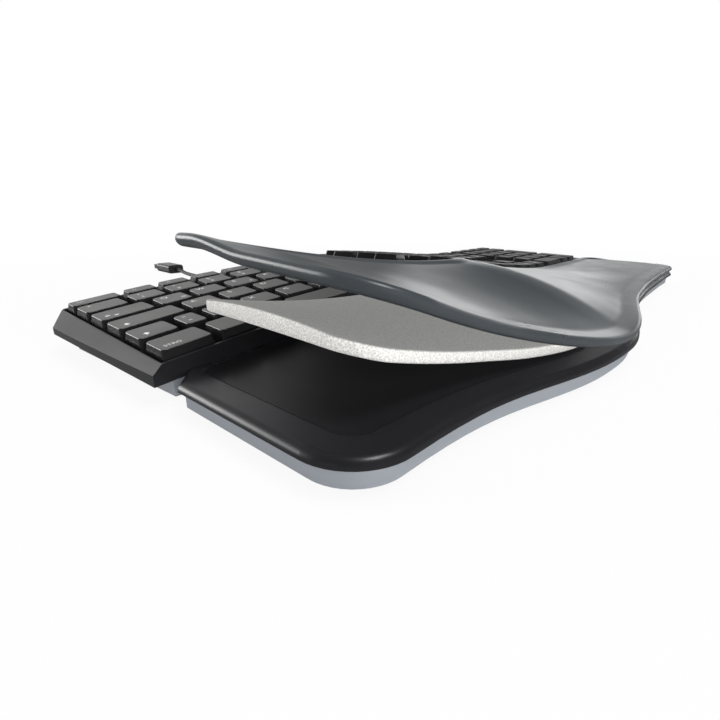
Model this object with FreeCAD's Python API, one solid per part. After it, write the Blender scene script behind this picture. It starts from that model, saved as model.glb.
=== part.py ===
import FreeCAD, Part
import math
import os

V = FreeCAD.Vector
os.makedirs("parts", exist_ok=True)

# Layout frame, in millimetres: x runs right from the left edge of the keys, y runs away from the
# user from the front edge of the bottom left key, z runs up from the top of that key.
# Each piece is moved from there to the part's own frame when it is written.
ORIGIN = V(217.5, -3.55, -20.0)

# Heights in the layout frame
TABLE_Z = -20.0
FOOT_PAD_HEIGHT = 2.0
SHELL_BOTTOM = TABLE_Z + FOOT_PAD_HEIGHT

# Key deck: the surface that the key tops lie in, tented along a ridge and tilted to the back
DECK_SLOPE = 0.0227
TENT_SLOPE = 0.1126
TENT_TWIST = 0.013
TENT_TWIST_Y = 60.0
TENT_RIGHT_END = 320.0
RIDGE_ROUNDING = 10.0
TENT_END_ROUNDING = 20.0

# Keys
KEY_PITCH = 19.0
KEY_GAP = 4.3
KEY_TOP = KEY_PITCH - KEY_GAP
KEY_DEPTH = 14.2
KEY_TAPER = 1.4
KEY_HEIGHT = 6.0
KEY_WALL = 1.2
KEY_CORNER = 1.6
KEY_EDGE_FILLET = 0.45
FIRST_ROW_Y = 7.1
FUNCTION_ROW_Y = 99.0
FUNCTION_DEPTH = 9.4
KEY_TRAVEL = 2.2
STEM_RADIUS = 2.7
STEM_BORE = 1.3
POST_RADIUS = 1.5
GUIDE_CLEARANCE = 0.25
WIDE_KEY = 30.0
POST_INSET = 8.0

# Curve of the key rows: they turn towards the user on the way to the middle
ROW_BEND_START = 20.0
ROW_BEND_RATE = math.radians(0.16)
ROW_BEND_LIMIT = math.radians(13.0)
BLOCK_WIDTH = 291.0
LEVEL_KEYS_X = 299.5
PAD_GAP = 5.0

# Stack under the keys, as offsets down from the key deck
FRAME_DROP = 3.2
FRAME_SKIN = 2.2
FRAME_SKIRT = 10.6
PLATE_DROP = 8.9
PLATE_THICKNESS = 1.4
STEM_GAP = 0.3
DOME_HEIGHT = 2.4
DOME_SHEET = 0.6
MEMBRANE = 0.4
BACKING = 0.8

# Frame and case
FRAME_LEFT_FRONT = -6.0
FRAME_LEFT_BACK = -10.5
FRAME_RIGHT = 445.5
FRAME_FRONT_MARGIN = 3.6
FRAME_BACK = 108.0
FRAME_BACK_DIP = 6.5
FRAME_CORNER = 9.5
FRAME_CORNER_DEPTH = 14.0
FRAME_WALL = 2.4
BORDER_X = -2.4
BORDER_FALL = 4.0
WELL_MARGIN = 1.0
WELL_WALL = 1.7
CASE_SIDE_INSET = 8.0
CASE_CLEARANCE = 0.4
CASE_WALL = 1.8
CASE_LAP = 9.4
CASE_FLOOR = 2.0

# Palm rest
PALM_LEFT = -2.8
PALM_RIGHT = 445.5
PALM_CORNER = 20.0
PALM_FRONT_LEFT = -96.0
PALM_FRONT_MIDDLE = -115.0
PALM_FRONT_RIGHT = -88.0
PALM_GAP = 0.3
FLOOR_SETBACK = 0.5
BASE_TOP = -11.0
BASE_WALL = 2.4
BASE_INSET = 3.0
RIM_TOP = -7.8
RIM_WIDTH = 12.5
RIM_ROUNDING = 3.0
RIM_INNER_ROUNDING = 1.5
TRAY_FLOOR = -10.5
TRAY_THICKNESS = 1.8
TRAY_RISE = 0.75
TRAY_BOW = 0.04
TRAY_LAP = 3.0
TRAY_FIT = 0.1
FOAM_THICKNESS = 4.2
FOAM_CROWN = 1.6
FOAM_CLEARANCE = 0.3
FOAM_INSET = 1.2
COVER_THICKNESS = 2.2
COVER_LIP = 3.4
COVER_CLEARANCE = 0.4

# Peeled state of the palm rest: how far the left end is lifted, and where the lift starts
PEEL_START = 156.0
PEEL_START_BACK = 175.0
COVER_LIFT_FRONT = 38.0
COVER_LIFT_BACK = 42.0
COVER_BEND_FRONT = 1.6
COVER_BEND_BACK = 1.3
COVER_LEFT = 6.0
FOAM_LIFT = 22.0
FOAM_BEND = 2.2
FOAM_LEFT = 13.5

# Fasteners
SCREW_RADIUS = 1.45
SCREW_HEAD_RADIUS = 2.7
SCREW_HEAD_HEIGHT = 1.6
BOSS_RADIUS = 3.1
BOSS_CLEARANCE = 0.5
POST_GAP = 0.45
SCREW_BITE = 5.0
CASE_SCREWS = [(143.0, 2.0), (144.0, 42.0), (146.0, 84.0), (306.9, 26.1), (344.9, 26.1), (306.9, 50.0),
               (344.9, 50.0)]
PALM_SCREWS = [(38.0, -50.0), (130.0, -58.0), (190.0, -56.0), (300.0, -48.0), (410.0, -48.0)]

# Feet
PAD_RADIUS = 6.0
CASE_PADS = [(12.0, 92.0), (176.0, 86.0), (428.0, 92.0)]
PALM_PADS = [(26.0, -76.0), (158.0, -98.0), (426.0, -72.0)]
TILT_FEET_X = (96.0, 224.0)
TILT_AXIS_Y = -50.0
TILT_AXIS_Z = -15.6
TILT_WIDTH = 26.0
TILT_LENGTH = 24.0
TILT_THICKNESS = 2.4
TILT_BARREL = 2.0
TILT_PIN = 1.0
TILT_RUN = 0.08
TILT_CLEARANCE = 0.6
TILT_CHEEK = 2.0

# Board, lock lights, cord
BOARD_SIZE = (62.0, 26.0, 1.6)
BOARD_CORNER = (176.0, 30.0)
BOARD_Z = -11.0
LIGHT_RADIUS = 1.4
LIGHT_PITCH = 7.0
LIGHTS_AT = (324.0, 45.0)
CORD_RADIUS = 1.75
EXIT_X = 155.0
EXIT_Z = -8.0
RELIEF_LENGTH = 13.0
RELIEF_RADIUS = 3.8
CORD_REST = 0.05
CORD_FLOOR = TABLE_Z + CORD_RADIUS + CORD_REST
CORD_ROUTE = [
    (155.0, 113.0, -8.0), (155.0, 127.0, -8.0), (155.0, 147.0, CORD_FLOOR), (155.0, 171.0, CORD_FLOOR),
]
COIL_LAYERS = 4
COIL_COLUMNS = 3
COIL_RADIUS = 21.0
COIL_PITCH = 4.1
COIL_LAYER_RISE = 4.0
COIL_CLIMB = 0.25
COIL_TOP = CORD_FLOOR + (COIL_LAYERS - 1) * COIL_LAYER_RISE
PLUG_SIZE = (16.0, 8.6, 30.0)
PLUG_SHELL = (12.0, 4.5, 12.0)
PLUG_Z = TABLE_Z + 0.5 * PLUG_SIZE[1] + CORD_REST
FREE_END = [
    (155.0, 171.0, COIL_TOP), (155.0, 184.0, COIL_TOP), (156.2, 216.0, CORD_FLOOR), (158.2, 262.0, CORD_FLOOR),
    (159.6, 296.0, CORD_FLOOR), (160.3, 312.0, PLUG_Z), (160.6, 321.0, PLUG_Z),
]


# Shapes of the deck and of the rows

def ramp(distance, rounding):
    return 0.5 * (distance + math.sqrt(distance * distance + rounding * rounding))


def tent(x):
    right = ramp(TENT_RIGHT_END - x, TENT_END_ROUNDING)
    spread = math.sqrt((x - right) ** 2 + RIDGE_ROUNDING ** 2)
    return 0.5 * (x + right - spread)


def deck(x, y):
    inward = tent(x)
    twist = TENT_TWIST * (max(inward, 0.0) / 100.0) ** 3 * (TENT_TWIST_Y - y)
    return DECK_SLOPE * y + TENT_SLOPE * inward + twist


def deck_normal(x, y):
    step = 1.0
    dx = (deck(x + step, y) - deck(x - step, y)) / (2 * step)
    dy = (deck(x, y + step) - deck(x, y - step)) / (2 * step)
    normal = V(-dx, -dy, 1.0)
    normal.normalize()
    return normal


def heading(inward):
    return min(ROW_BEND_LIMIT, max(0.0, ROW_BEND_RATE * (inward - ROW_BEND_START)))


def row_drop(inward):
    """How far a row has come towards the user at a distance from its outer end."""
    full = ROW_BEND_START + ROW_BEND_LIMIT / ROW_BEND_RATE
    curved = min(max(inward - ROW_BEND_START, 0.0), full - ROW_BEND_START)
    straight = max(inward - full, 0.0)
    return 0.5 * ROW_BEND_RATE * curved ** 2 + math.tan(ROW_BEND_LIMIT) * straight


def block_drop(x):
    return row_drop(min(x, BLOCK_WIDTH - x))


# Keys: node, top width, and for the level keys the column and the span

LEFT_ROWS = [
    (0, KEY_DEPTH, [("left_ctrl_key", 19.8), ("left_super_key", KEY_TOP), ("left_inner_keys", KEY_TOP),
                    ("left_space_bar", 61.0)]),
    (1, KEY_DEPTH, [("left_shift_key", 15.8), ("angle_bracket_key", 8.6), ("y_key", KEY_TOP),
                    ("x_key", KEY_TOP), ("c_key", KEY_TOP), ("left_inner_keys", KEY_TOP),
                    ("left_inner_keys", KEY_TOP)]),
    (2, KEY_DEPTH, [("caps_lock_key", 28.8), ("a_key", KEY_TOP), ("s_key", KEY_TOP), ("d_key", KEY_TOP),
                    ("f_key", KEY_TOP), ("left_inner_keys", KEY_TOP)]),
    (3, KEY_DEPTH, [("tab_key", 23.5), ("q_key", KEY_TOP), ("w_key", KEY_TOP), ("e_key", KEY_TOP),
                    ("r_key", KEY_TOP), ("t_key", KEY_TOP)]),
    (4, KEY_DEPTH, [("caret_key", 19.0), ("one_key", KEY_TOP), ("two_key", KEY_TOP), ("three_key", KEY_TOP),
                    ("four_key", KEY_TOP), ("five_key", KEY_TOP), ("left_inner_keys", KEY_TOP)]),
    (5, FUNCTION_DEPTH, [("escape_key", 22.4)] + 5 * [("left_function_keys", 14.4)]),
]
RIGHT_ROWS = [
    (0, KEY_DEPTH, [("right_bottom_keys", 24.2)] + 3 * [("right_bottom_keys", KEY_TOP)]
     + [("right_space_bar", 42.0)]),
    (1, KEY_DEPTH, [("right_lower_keys", 23.5)] + 5 * [("right_lower_keys", KEY_TOP)]),
    (2, KEY_DEPTH, [("right_home_keys", 19.8)] + 6 * [("right_home_keys", KEY_TOP)]),
    (3, KEY_DEPTH, 7 * [("right_upper_keys", KEY_TOP)]),
    (4, KEY_DEPTH, [("right_number_keys", 19.0)] + 6 * [("right_number_keys", KEY_TOP)]),
    (5, FUNCTION_DEPTH, 7 * [("right_function_keys", 14.4)]),
]
# Level keys: node, column, row, columns wide, rows deep
ARROW_KEYS = [("arrow_keys", 0, 0, 1, 1), ("arrow_keys", 1, 0, 1, 1), ("arrow_keys", 2, 0, 1, 1),
              ("arrow_keys", 1, 1, 1, 1)]
NAVIGATION_KEYS = [("navigation_keys", column, row, 1, 1) for row in (3, 4) for column in range(3)]
PAD_KEYS = [("number_pad_keys", column, row, 1, 1) for row in (1, 2, 3) for column in range(3)]
PAD_KEYS += [("number_pad_keys", column, 4, 1, 1) for column in range(4)]
PAD_KEYS += [("number_pad_keys", 0, 0, 2, 1), ("number_pad_keys", 2, 0, 1, 1),
             ("number_pad_keys", 3, 0, 1, 2), ("number_pad_keys", 3, 2, 1, 2)]
LEVEL_FUNCTION_KEYS = 3
PAD_FUNCTION_KEYS = 4


def row_y(row):
    return FUNCTION_ROW_Y if row == 5 else FIRST_ROW_Y + row * KEY_PITCH


def curved_row(row, depth, keys, mirrored):
    """Keys of one row of a block, from its outer end inward."""
    placed = []
    inward = 0.0
    y = row_y(row)
    for node, width in keys:
        angle = heading(inward + 0.5 * width)
        inward += 0.5 * width * math.cos(angle)
        y -= 0.5 * width * math.sin(angle)
        x = BLOCK_WIDTH - inward if mirrored else inward
        placed.append((node, x, y, angle if mirrored else -angle, width, depth))
        inward += (0.5 * width + KEY_GAP) * math.cos(angle)
        y -= (0.5 * width + KEY_GAP) * math.sin(angle)
    return placed


def level_key(node, left, column, row, columns, rows):
    width = columns * KEY_PITCH - KEY_GAP
    depth = KEY_DEPTH + (rows - 1) * KEY_PITCH
    x = left + column * KEY_PITCH + 0.5 * width
    y = row_y(row) + 0.5 * (rows - 1) * KEY_PITCH
    return (node, x, y, 0.0, width, depth)


def all_keys():
    keys = []
    for row, depth, names in LEFT_ROWS:
        keys += curved_row(row, depth, names, False)
    for row, depth, names in RIGHT_ROWS:
        keys += curved_row(row, depth, names, True)
    pad_left = LEVEL_KEYS_X + 3 * KEY_PITCH + PAD_GAP
    keys += [level_key(key[0], LEVEL_KEYS_X, *key[1:]) for key in ARROW_KEYS + NAVIGATION_KEYS]
    keys += [level_key(key[0], pad_left, *key[1:]) for key in PAD_KEYS]
    for node, left, count in (("navigation_keys", LEVEL_KEYS_X, LEVEL_FUNCTION_KEYS),
                              ("number_pad_keys", pad_left, PAD_FUNCTION_KEYS)):
        for column in range(count):
            x = left + column * KEY_PITCH + 0.5 * KEY_TOP
            keys.append((node, x, row_y(5), 0.0, KEY_TOP, FUNCTION_DEPTH))
    return keys


def key_placement(x, y, angle):
    lean = FreeCAD.Rotation(V(0, 0, 1), deck_normal(x, y))
    turn = FreeCAD.Rotation(V(0, 0, 1), math.degrees(angle))
    return FreeCAD.Placement(V(x, y, deck(x, y)), lean.multiply(turn))


def rounded_rectangle(width, depth, corner, z):
    x = 0.5 * width
    y = 0.5 * depth
    bend = corner * (1 - math.sqrt(0.5))
    lines = [(V(x, corner - y, z), V(x, y - corner, z)), (V(x - corner, y, z), V(corner - x, y, z)),
             (V(-x, y - corner, z), V(-x, corner - y, z)), (V(corner - x, -y, z), V(x - corner, -y, z))]
    middles = [V(x - bend, y - bend, z), V(bend - x, y - bend, z), V(bend - x, bend - y, z),
               V(x - bend, bend - y, z)]
    edges = []
    for index, line in enumerate(lines):
        edges.append(Part.makeLine(*line))
        following = lines[(index + 1) % len(lines)]
        edges.append(Part.Arc(line[1], middles[index], following[0]).toShape())
    return Part.Wire(edges)


def frustum(top_width, top_depth, corner, taper, top_z, bottom_z):
    top = rounded_rectangle(top_width, top_depth, corner, top_z)
    bottom = rounded_rectangle(top_width + 2 * taper, top_depth + 2 * taper, corner, bottom_z)
    return Part.makeLoft([bottom, top], True, True)


def post_places(width, depth):
    """Guide posts at both ends of a long key."""
    if width > WIDE_KEY:
        return [(-0.5 * width + POST_INSET, 0.0), (0.5 * width - POST_INSET, 0.0)]
    if depth > WIDE_KEY:
        return [(0.0, -0.5 * depth + POST_INSET), (0.0, 0.5 * depth - POST_INSET)]
    return []


def stem_length():
    return PLATE_DROP + PLATE_THICKNESS + STEM_GAP


def key_cap(width, depth):
    """One cap with its stem, the middle of its top at the origin."""
    cap = frustum(width, depth, KEY_CORNER, KEY_TAPER, 0.0, -KEY_HEIGHT)
    top_edges = [edge for edge in cap.Edges if abs(edge.CenterOfMass.z) < 0.01]
    cap = cap.makeFillet(KEY_EDGE_FILLET, top_edges)
    hollow = frustum(width - 2 * KEY_WALL, depth - 2 * KEY_WALL, 0.6 * KEY_CORNER, KEY_TAPER,
                     -KEY_WALL, -KEY_WALL - KEY_HEIGHT)
    cap = cap.cut(hollow)
    below = stem_length() - KEY_WALL
    stem = Part.makeCylinder(STEM_RADIUS, below, V(0, 0, -KEY_WALL), V(0, 0, -1))
    bore_start = V(0, 0, -KEY_WALL - KEY_HEIGHT)
    stem = stem.cut(Part.makeCylinder(STEM_BORE, below - KEY_HEIGHT, bore_start, V(0, 0, -1)))
    posts = [Part.makeCylinder(POST_RADIUS, below, V(x, y, -KEY_WALL), V(0, 0, -1))
             for x, y in post_places(width, depth)]
    return cap.multiFuse([stem] + posts)


def build_keys(keys):
    """Caps by node; caps of one size are copies of one shape."""
    shapes = {}
    nodes = {}
    for node, x, y, angle, width, depth in keys:
        size = (round(width, 3), round(depth, 3))
        if size not in shapes:
            shapes[size] = key_cap(width, depth)
        cap = shapes[size].copy()
        cap.Placement = key_placement(x, y, angle)
        nodes.setdefault(node, []).append(cap)
    return nodes


# Sheets that follow the deck

SHEET_FRONT = -60.0
SHEET_BACK = 140.0
SHEET_STATIONS = [-30.0, 0.0, 30.0, 60.0, 90.0, 115.0, 135.0, 147.0, 153.0, 157.0, 160.0, 163.0, 167.0, 173.0,
                  185.0, 205.0, 230.0, 260.0, 285.0, 300.0, 312.0, 324.0, 336.0, 350.0, 380.0, 425.0, 470.0]


def slab(top_drop, bottom_drop):
    """Solid between two offsets below the deck, wider than the part."""
    front = SHEET_FRONT
    back = SHEET_BACK
    sections = []
    for x in SHEET_STATIONS:
        corners = [V(x, front, deck(x, front) - bottom_drop), V(x, back, deck(x, back) - bottom_drop),
                   V(x, back, deck(x, back) - top_drop), V(x, front, deck(x, front) - top_drop)]
        sections.append(Part.makePolygon(corners + corners[:1]))
    return Part.makeLoft(sections, True, True)


def prism(wire, low, high):
    base = wire.copy()
    base.translate(V(0, 0, low))
    return Part.Face(base).extrude(V(0, 0, high - low))


def spline(points, flat_ends=False):
    curve = Part.BSplineCurve()
    places = [V(*point) for point in points]
    if flat_ends:
        curve.interpolate(Points=places, InitialTangent=V(1, 0, 0), FinalTangent=V(1, 0, 0))
    else:
        curve.interpolate(places)
    return curve.toShape()


LOW = -60.0
HIGH = 80.0
FRONT_CURVE_X = [BLOCK_WIDTH * share / 12.0 for share in range(1, 12)]


def front_curve(margin, start, end):
    """Front edge of the key section, from its right end to its left end."""
    points = [start]
    points += [(x, -block_drop(x) - margin, 0.0) for x in reversed(FRONT_CURVE_X)]
    points.append(end)
    return spline(points)


def key_section_outline(side, front_inset, back_inset):
    """Plan outline of the key section, drawn in at the sides, the front and the back."""
    margin = FRAME_FRONT_MARGIN - front_inset
    back = FRAME_BACK - back_inset
    left_front = V(FRAME_LEFT_FRONT + side, -margin, 0)
    left_back = V(FRAME_LEFT_BACK + side, FRAME_BACK - 0.5 * side - FRAME_CORNER_DEPTH, 0)
    back_left = V(FRAME_LEFT_BACK + FRAME_CORNER + 0.5 * side, back, 0)
    back_right = V(FRAME_RIGHT - 0.5 * side - FRAME_CORNER, back, 0)
    right_back = V(FRAME_RIGHT - side, FRAME_BACK - 0.5 * side - FRAME_CORNER, 0)
    right_front = V(FRAME_RIGHT - side, -margin, 0)
    middle = 0.5 * BLOCK_WIDTH
    shoulder = V(BLOCK_WIDTH, back, 0)
    dip = spline([back_left, V(0.5 * middle, back - 0.4 * FRAME_BACK_DIP, 0),
                  V(middle, back - FRAME_BACK_DIP, 0),
                  V(1.5 * middle, back - 0.4 * FRAME_BACK_DIP, 0), shoulder])
    front_right = V(BLOCK_WIDTH, -margin, 0)
    edges = [Part.makeLine(left_front, left_back), Part.makeLine(left_back, back_left), dip,
             Part.makeLine(shoulder, back_right), Part.makeLine(back_right, right_back),
             Part.makeLine(right_back, right_front), Part.makeLine(right_front, front_right),
             front_curve(margin, front_right, left_front)]
    return Part.Wire(edges)


def key_box(key, margin, low, high):
    node, x, y, angle, width, depth = key
    width += 2 * (KEY_TAPER + margin)
    depth += 2 * (KEY_TAPER + margin)
    return Part.makeBox(width, depth, high - low, V(-0.5 * width, -0.5 * depth, low))


def key_well(key):
    """Room for one cap, from above the deck down to the key plate."""
    well = key_box(key, WELL_MARGIN, -PLATE_DROP - 0.1, 10.0)
    well.Placement = key_placement(*key[1:4])
    return well


def key_surround(key):
    """Upright block that holds the walls round one cap."""
    node, x, y, angle, width, depth = key
    block = key_box(key, WELL_MARGIN + WELL_WALL, LOW, HIGH)
    block.Placement = FreeCAD.Placement(V(x, y, 0), FreeCAD.Rotation(V(0, 0, 1), math.degrees(angle)))
    return block


def upright(x, y, radius, low, high):
    return Part.makeCylinder(radius, high - low, V(x, y, low))


def border_block(thickness):
    """Everything above the border that slopes down to the left, or the border's own skin."""
    sections = []
    for y, outer in ((SHEET_FRONT, FRAME_LEFT_FRONT), (SHEET_BACK, FRAME_LEFT_BACK)):
        top = deck(BORDER_X, y) - FRAME_DROP
        fall = BORDER_FALL / (BORDER_X - outer)
        far = 30.0
        low = top - fall * far
        other, other_low = HIGH, HIGH
        if thickness:
            other, other_low = top - thickness, low - thickness
        points = [V(BORDER_X, y, top), V(BORDER_X - far, y, low), V(BORDER_X - far, y, other_low),
                  V(BORDER_X, y, other), V(BORDER_X, y, top)]
        sections.append(Part.makePolygon(points))
    return Part.makeLoft(sections, True, True)


def build_frame(keys):
    outline = key_section_outline(0.0, 0.0, 0.0)
    inner = key_section_outline(FRAME_WALL, FRAME_WALL, FRAME_WALL)
    skin = prism(outline, LOW, HIGH).common(slab(FRAME_DROP, FRAME_DROP + FRAME_SKIN))
    ring = prism(outline, LOW, HIGH).cut(prism(inner, LOW, HIGH))
    skirt = ring.common(slab(FRAME_DROP + 0.5 * FRAME_SKIN, FRAME_SKIRT))
    wells = [key_well(key) for key in keys]
    rims = [key_surround(key) for key in keys]
    walls = rims[0].multiFuse(rims[1:]).common(slab(FRAME_DROP + 0.5 * FRAME_SKIN, PLATE_DROP))
    walls = walls.common(prism(outline, LOW, HIGH))
    bosses = []
    for x, y in CASE_SCREWS:
        top = deck(x, y) - FRAME_DROP - 0.5 * FRAME_SKIN
        bosses.append(upright(x, y, BOSS_RADIUS, case_boss_top(x, y), top))
    pilots = [upright(x, y, SCREW_RADIUS, LOW, case_boss_top(x, y) + SCREW_BITE) for x, y in CASE_SCREWS]
    lights = [upright(x, y, LIGHT_RADIUS, LOW, HIGH) for x, y in light_places()]
    border = border_block(1.4 * FRAME_SKIN).common(prism(outline, LOW, HIGH))
    frame = skin.multiFuse([skirt, walls] + bosses).cut(border_block(0.0)).fuse(border)
    frame = frame.cut(wells).cut(pilots + lights)
    return biggest(frame)


def biggest(shape):
    """The one main solid, without the loose crumbs that crossing cuts leave."""
    ordered = sorted(shape.Solids, key=lambda solid: -solid.Volume)
    print("left out", [round(solid.Volume, 1) for solid in ordered[1:]])
    return ordered[0]


def case_boss_top(x, y):
    return deck(x, y) - backing_drop() - BACKING - BOSS_CLEARANCE


def dome_top_drop():
    return stem_length() + STEM_GAP


def sheet_drop():
    return dome_top_drop() + DOME_HEIGHT


def membrane_drop():
    return sheet_drop() + DOME_SHEET


def backing_drop():
    return membrane_drop() + MEMBRANE


def inner_sheet(top_drop, thickness, holes):
    outline = case_outline(CASE_WALL + CASE_CLEARANCE)
    sheet = prism(outline, LOW, HIGH).common(slab(top_drop, top_drop + thickness))
    screws = [upright(x, y, BOSS_RADIUS + BOSS_CLEARANCE, LOW, HIGH) for x, y in CASE_SCREWS]
    return sheet.cut(holes + screws)


def guide_hole(key):
    node, x, y, angle, width, depth = key
    reach = 4.0
    start = -PLATE_DROP - PLATE_THICKNESS - reach
    length = PLATE_THICKNESS + 2 * reach
    tools = [Part.makeCylinder(STEM_RADIUS + GUIDE_CLEARANCE, length, V(0, 0, start))]
    tools += [Part.makeCylinder(POST_RADIUS + GUIDE_CLEARANCE, length, V(px, py, start))
              for px, py in post_places(width, depth)]
    for tool in tools:
        tool.Placement = key_placement(x, y, angle)
    return tools


def build_plate(keys):
    holes = []
    for key in keys:
        holes += guide_hole(key)
    return inner_sheet(PLATE_DROP, PLATE_THICKNESS, holes)


def build_dome_sheet(keys):
    sheet = inner_sheet(sheet_drop(), DOME_SHEET, [])
    domes = []
    for node, x, y, angle, width, depth in keys:
        base = sheet_drop() + 0.5 * DOME_SHEET
        height = base - dome_top_drop()
        dome = Part.makeCone(4.0, 2.3, height, V(0, 0, -base))
        dome.Placement = key_placement(x, y, angle)
        domes.append(dome)
    return sheet.multiFuse(domes)


# Case under the keys

def case_outline(inset):
    hidden = FRAME_WALL + CASE_CLEARANCE + inset
    return key_section_outline(CASE_SIDE_INSET + inset, hidden, hidden)


def case_room():
    """Space under the frame that the case may fill."""
    return slab(CASE_LAP, 160.0)


def build_case():
    outer = prism(case_outline(0.0), SHELL_BOTTOM, HIGH)
    inner = prism(case_outline(CASE_WALL), SHELL_BOTTOM + CASE_FLOOR, HIGH)
    shell = outer.cut(inner)
    bosses = []
    cuts = []
    for x, y in CASE_SCREWS:
        bosses.append(upright(x, y, BOSS_RADIUS, SHELL_BOTTOM + 0.5 * CASE_FLOOR, case_boss_top(x, y)))
        cuts.append(upright(x, y, SCREW_RADIUS + 0.1, LOW, HIGH))
        cuts.append(upright(x, y, SCREW_HEAD_RADIUS + 0.1, LOW, SHELL_BOTTOM + SCREW_HEAD_HEIGHT))
    for x, y in board_posts():
        bosses.append(upright(x, y, BOSS_RADIUS, SHELL_BOTTOM + 0.5 * CASE_FLOOR, BOARD_Z))
    for x, y in support_posts():
        top = deck(x, y) - backing_drop() - BACKING - POST_GAP
        bosses.append(upright(x, y, BOSS_RADIUS, SHELL_BOTTOM + 0.5 * CASE_FLOOR, top))
    cuts.append(relief_core(0.0))
    case = shell.multiFuse(bosses).common(case_room())
    return case.cut(cuts)


def support_posts():
    return [(x, y) for x in (14.0, 78.0, 200.0, 250.0, 330.0, 400.0) for y in (10.0, 84.0)]


def board_posts():
    x, y = BOARD_CORNER
    width, depth, thickness = BOARD_SIZE
    return [(x + 4.0, y + 4.0), (x + width - 4.0, y + 4.0), (x + 4.0, y + depth - 4.0),
            (x + width - 4.0, y + depth - 4.0)]


def build_board():
    x, y = BOARD_CORNER
    width, depth, thickness = BOARD_SIZE
    board = Part.makeBox(width, depth, thickness, V(x, y, BOARD_Z))
    chip = Part.makeBox(10.0, 10.0, 1.6, V(x + 18.0, y + 8.0, BOARD_Z + thickness - 0.1))
    plug = Part.makeBox(8.0, 6.0, 5.0, V(x + 40.0, y + depth - 8.0, BOARD_Z + thickness - 0.1))
    return board.multiFuse([chip, plug])


def light_places():
    x, y = LIGHTS_AT
    return [(x + index * LIGHT_PITCH - LIGHT_PITCH, y) for index in range(3)]


def build_lights():
    lenses = []
    for x, y in light_places():
        top = deck(x, y) - FRAME_DROP
        lenses.append(upright(x, y, LIGHT_RADIUS, top - FRAME_SKIN, top))
    return lenses


# Palm rest

PALM_FRONT_POINTS = [(67.0, -100.0), (95.0, -107.0), (121.0, -112.6), (140.0, -114.6), (160.0, PALM_FRONT_MIDDLE),
                     (185.0, -111.8), (222.0, -103.4), (250.0, -97.6), (277.0, -94.2), (320.0, -90.6),
                     (380.0, -88.6)]


def palm_outline(inset, back_gap):
    left = PALM_LEFT + inset
    right = PALM_RIGHT - inset
    radius = PALM_CORNER - inset
    back = -FRAME_FRONT_MARGIN - back_gap
    bend = radius * (1 - math.sqrt(0.5))
    front_left = PALM_FRONT_LEFT + inset
    front_right = PALM_FRONT_RIGHT + inset
    left_top = V(left, back - 10.0 + 0.4 * inset, 0)
    back_left = V(left + 8.0, back, 0)
    left_low = V(left, front_left + radius, 0)
    start = V(left + radius, front_left, 0)
    end = V(right - radius, front_right, 0)
    right_low = V(right, front_right + radius, 0)
    right_top = V(right, back, 0)
    front = [start] + [V(x, y + inset, 0) for x, y in PALM_FRONT_POINTS] + [end]
    back_start = V(BLOCK_WIDTH, back, 0)
    edges = [Part.makeLine(back_left, left_top), Part.makeLine(left_top, left_low),
             Part.Arc(left_low, V(left + bend, front_left + bend, 0), start).toShape(),
             spline(front, True),
             Part.Arc(end, V(right - bend, front_right + bend, 0), right_low).toShape(),
             Part.makeLine(right_low, right_top), Part.makeLine(right_top, back_start),
             front_curve(FRAME_FRONT_MARGIN + back_gap, back_start, back_left)]
    return Part.Wire(edges)


def palm_front(x):
    """Front edge of the palm rest away from its corners."""
    points = [(PALM_LEFT + PALM_CORNER, PALM_FRONT_LEFT)] + PALM_FRONT_POINTS
    points += [(PALM_RIGHT - PALM_CORNER, PALM_FRONT_RIGHT)]
    if x <= points[0][0]:
        return points[0][1]
    for (x0, y0), (x1, y1) in zip(points, points[1:]):
        if x <= x1:
            return y0 + (y1 - y0) * (x - x0) / (x1 - x0)
    return points[-1][1]


def palm_back(x):
    return -block_drop(min(max(x, 0.0), BLOCK_WIDTH)) - FRAME_FRONT_MARGIN - PALM_GAP


def arc_height(points, y):
    """Height at y of the circle through three points (y, z)."""
    (y0, z0), (y1, z1), (y2, z2) = points
    first = (y1 - y0) * (y0 + y1) + (z1 - z0) * (z0 + z1)
    second = (y2 - y0) * (y0 + y2) + (z2 - z0) * (z0 + z2)
    scale = 2.0 * ((y1 - y0) * (z2 - z1) - (z1 - z0) * (y2 - y1))
    centre_y = ((z2 - z0) * first - (z1 - z0) * second) / scale
    centre_z = ((y1 - y0) * second - (y2 - y0) * first) / scale
    radius = math.hypot(y0 - centre_y, z0 - centre_z)
    reach = math.sqrt(radius ** 2 - (y - centre_y) ** 2)
    return centre_z + math.copysign(reach, z1 - centre_z)


def tray_floor(x, y):
    """Top of the tray's floor: an arc that rises from the front edge towards the tented keys."""
    front = palm_front(x) + RIM_WIDTH - TRAY_LAP
    back = palm_back(x)
    height = max(deck(x, back) - DECK_SLOPE * back, 0.0)
    points = [(front, TRAY_FLOOR), (0.5 * (front + back), TRAY_FLOOR + TRAY_RISE * height + TRAY_BOW),
              (back, TRAY_FLOOR + height)]
    return arc_height(points, y)


def strip_section(x, front, back, low, high):
    """Closed section of a soft or thin sheet across one x: arcs below and above, straight ends."""
    places = [front, 0.5 * (front + back), back]
    under = [V(x, y, low(x, y)) for y in places]
    over = [V(x, y, high(x, y)) for y in places]
    return Part.Wire([Part.Arc(*under).toShape(), Part.makeLine(under[2], over[2]),
                      Part.Arc(over[2], over[1], over[0]).toShape(), Part.makeLine(over[0], under[0])])


def strip(places, low, high):
    """Solid lofted through sections at x, from a front y to a back y."""
    sections = [strip_section(x, front, back, low, high) for x, front, back in places]
    return Part.makeLoft(sections, True, True)


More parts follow.
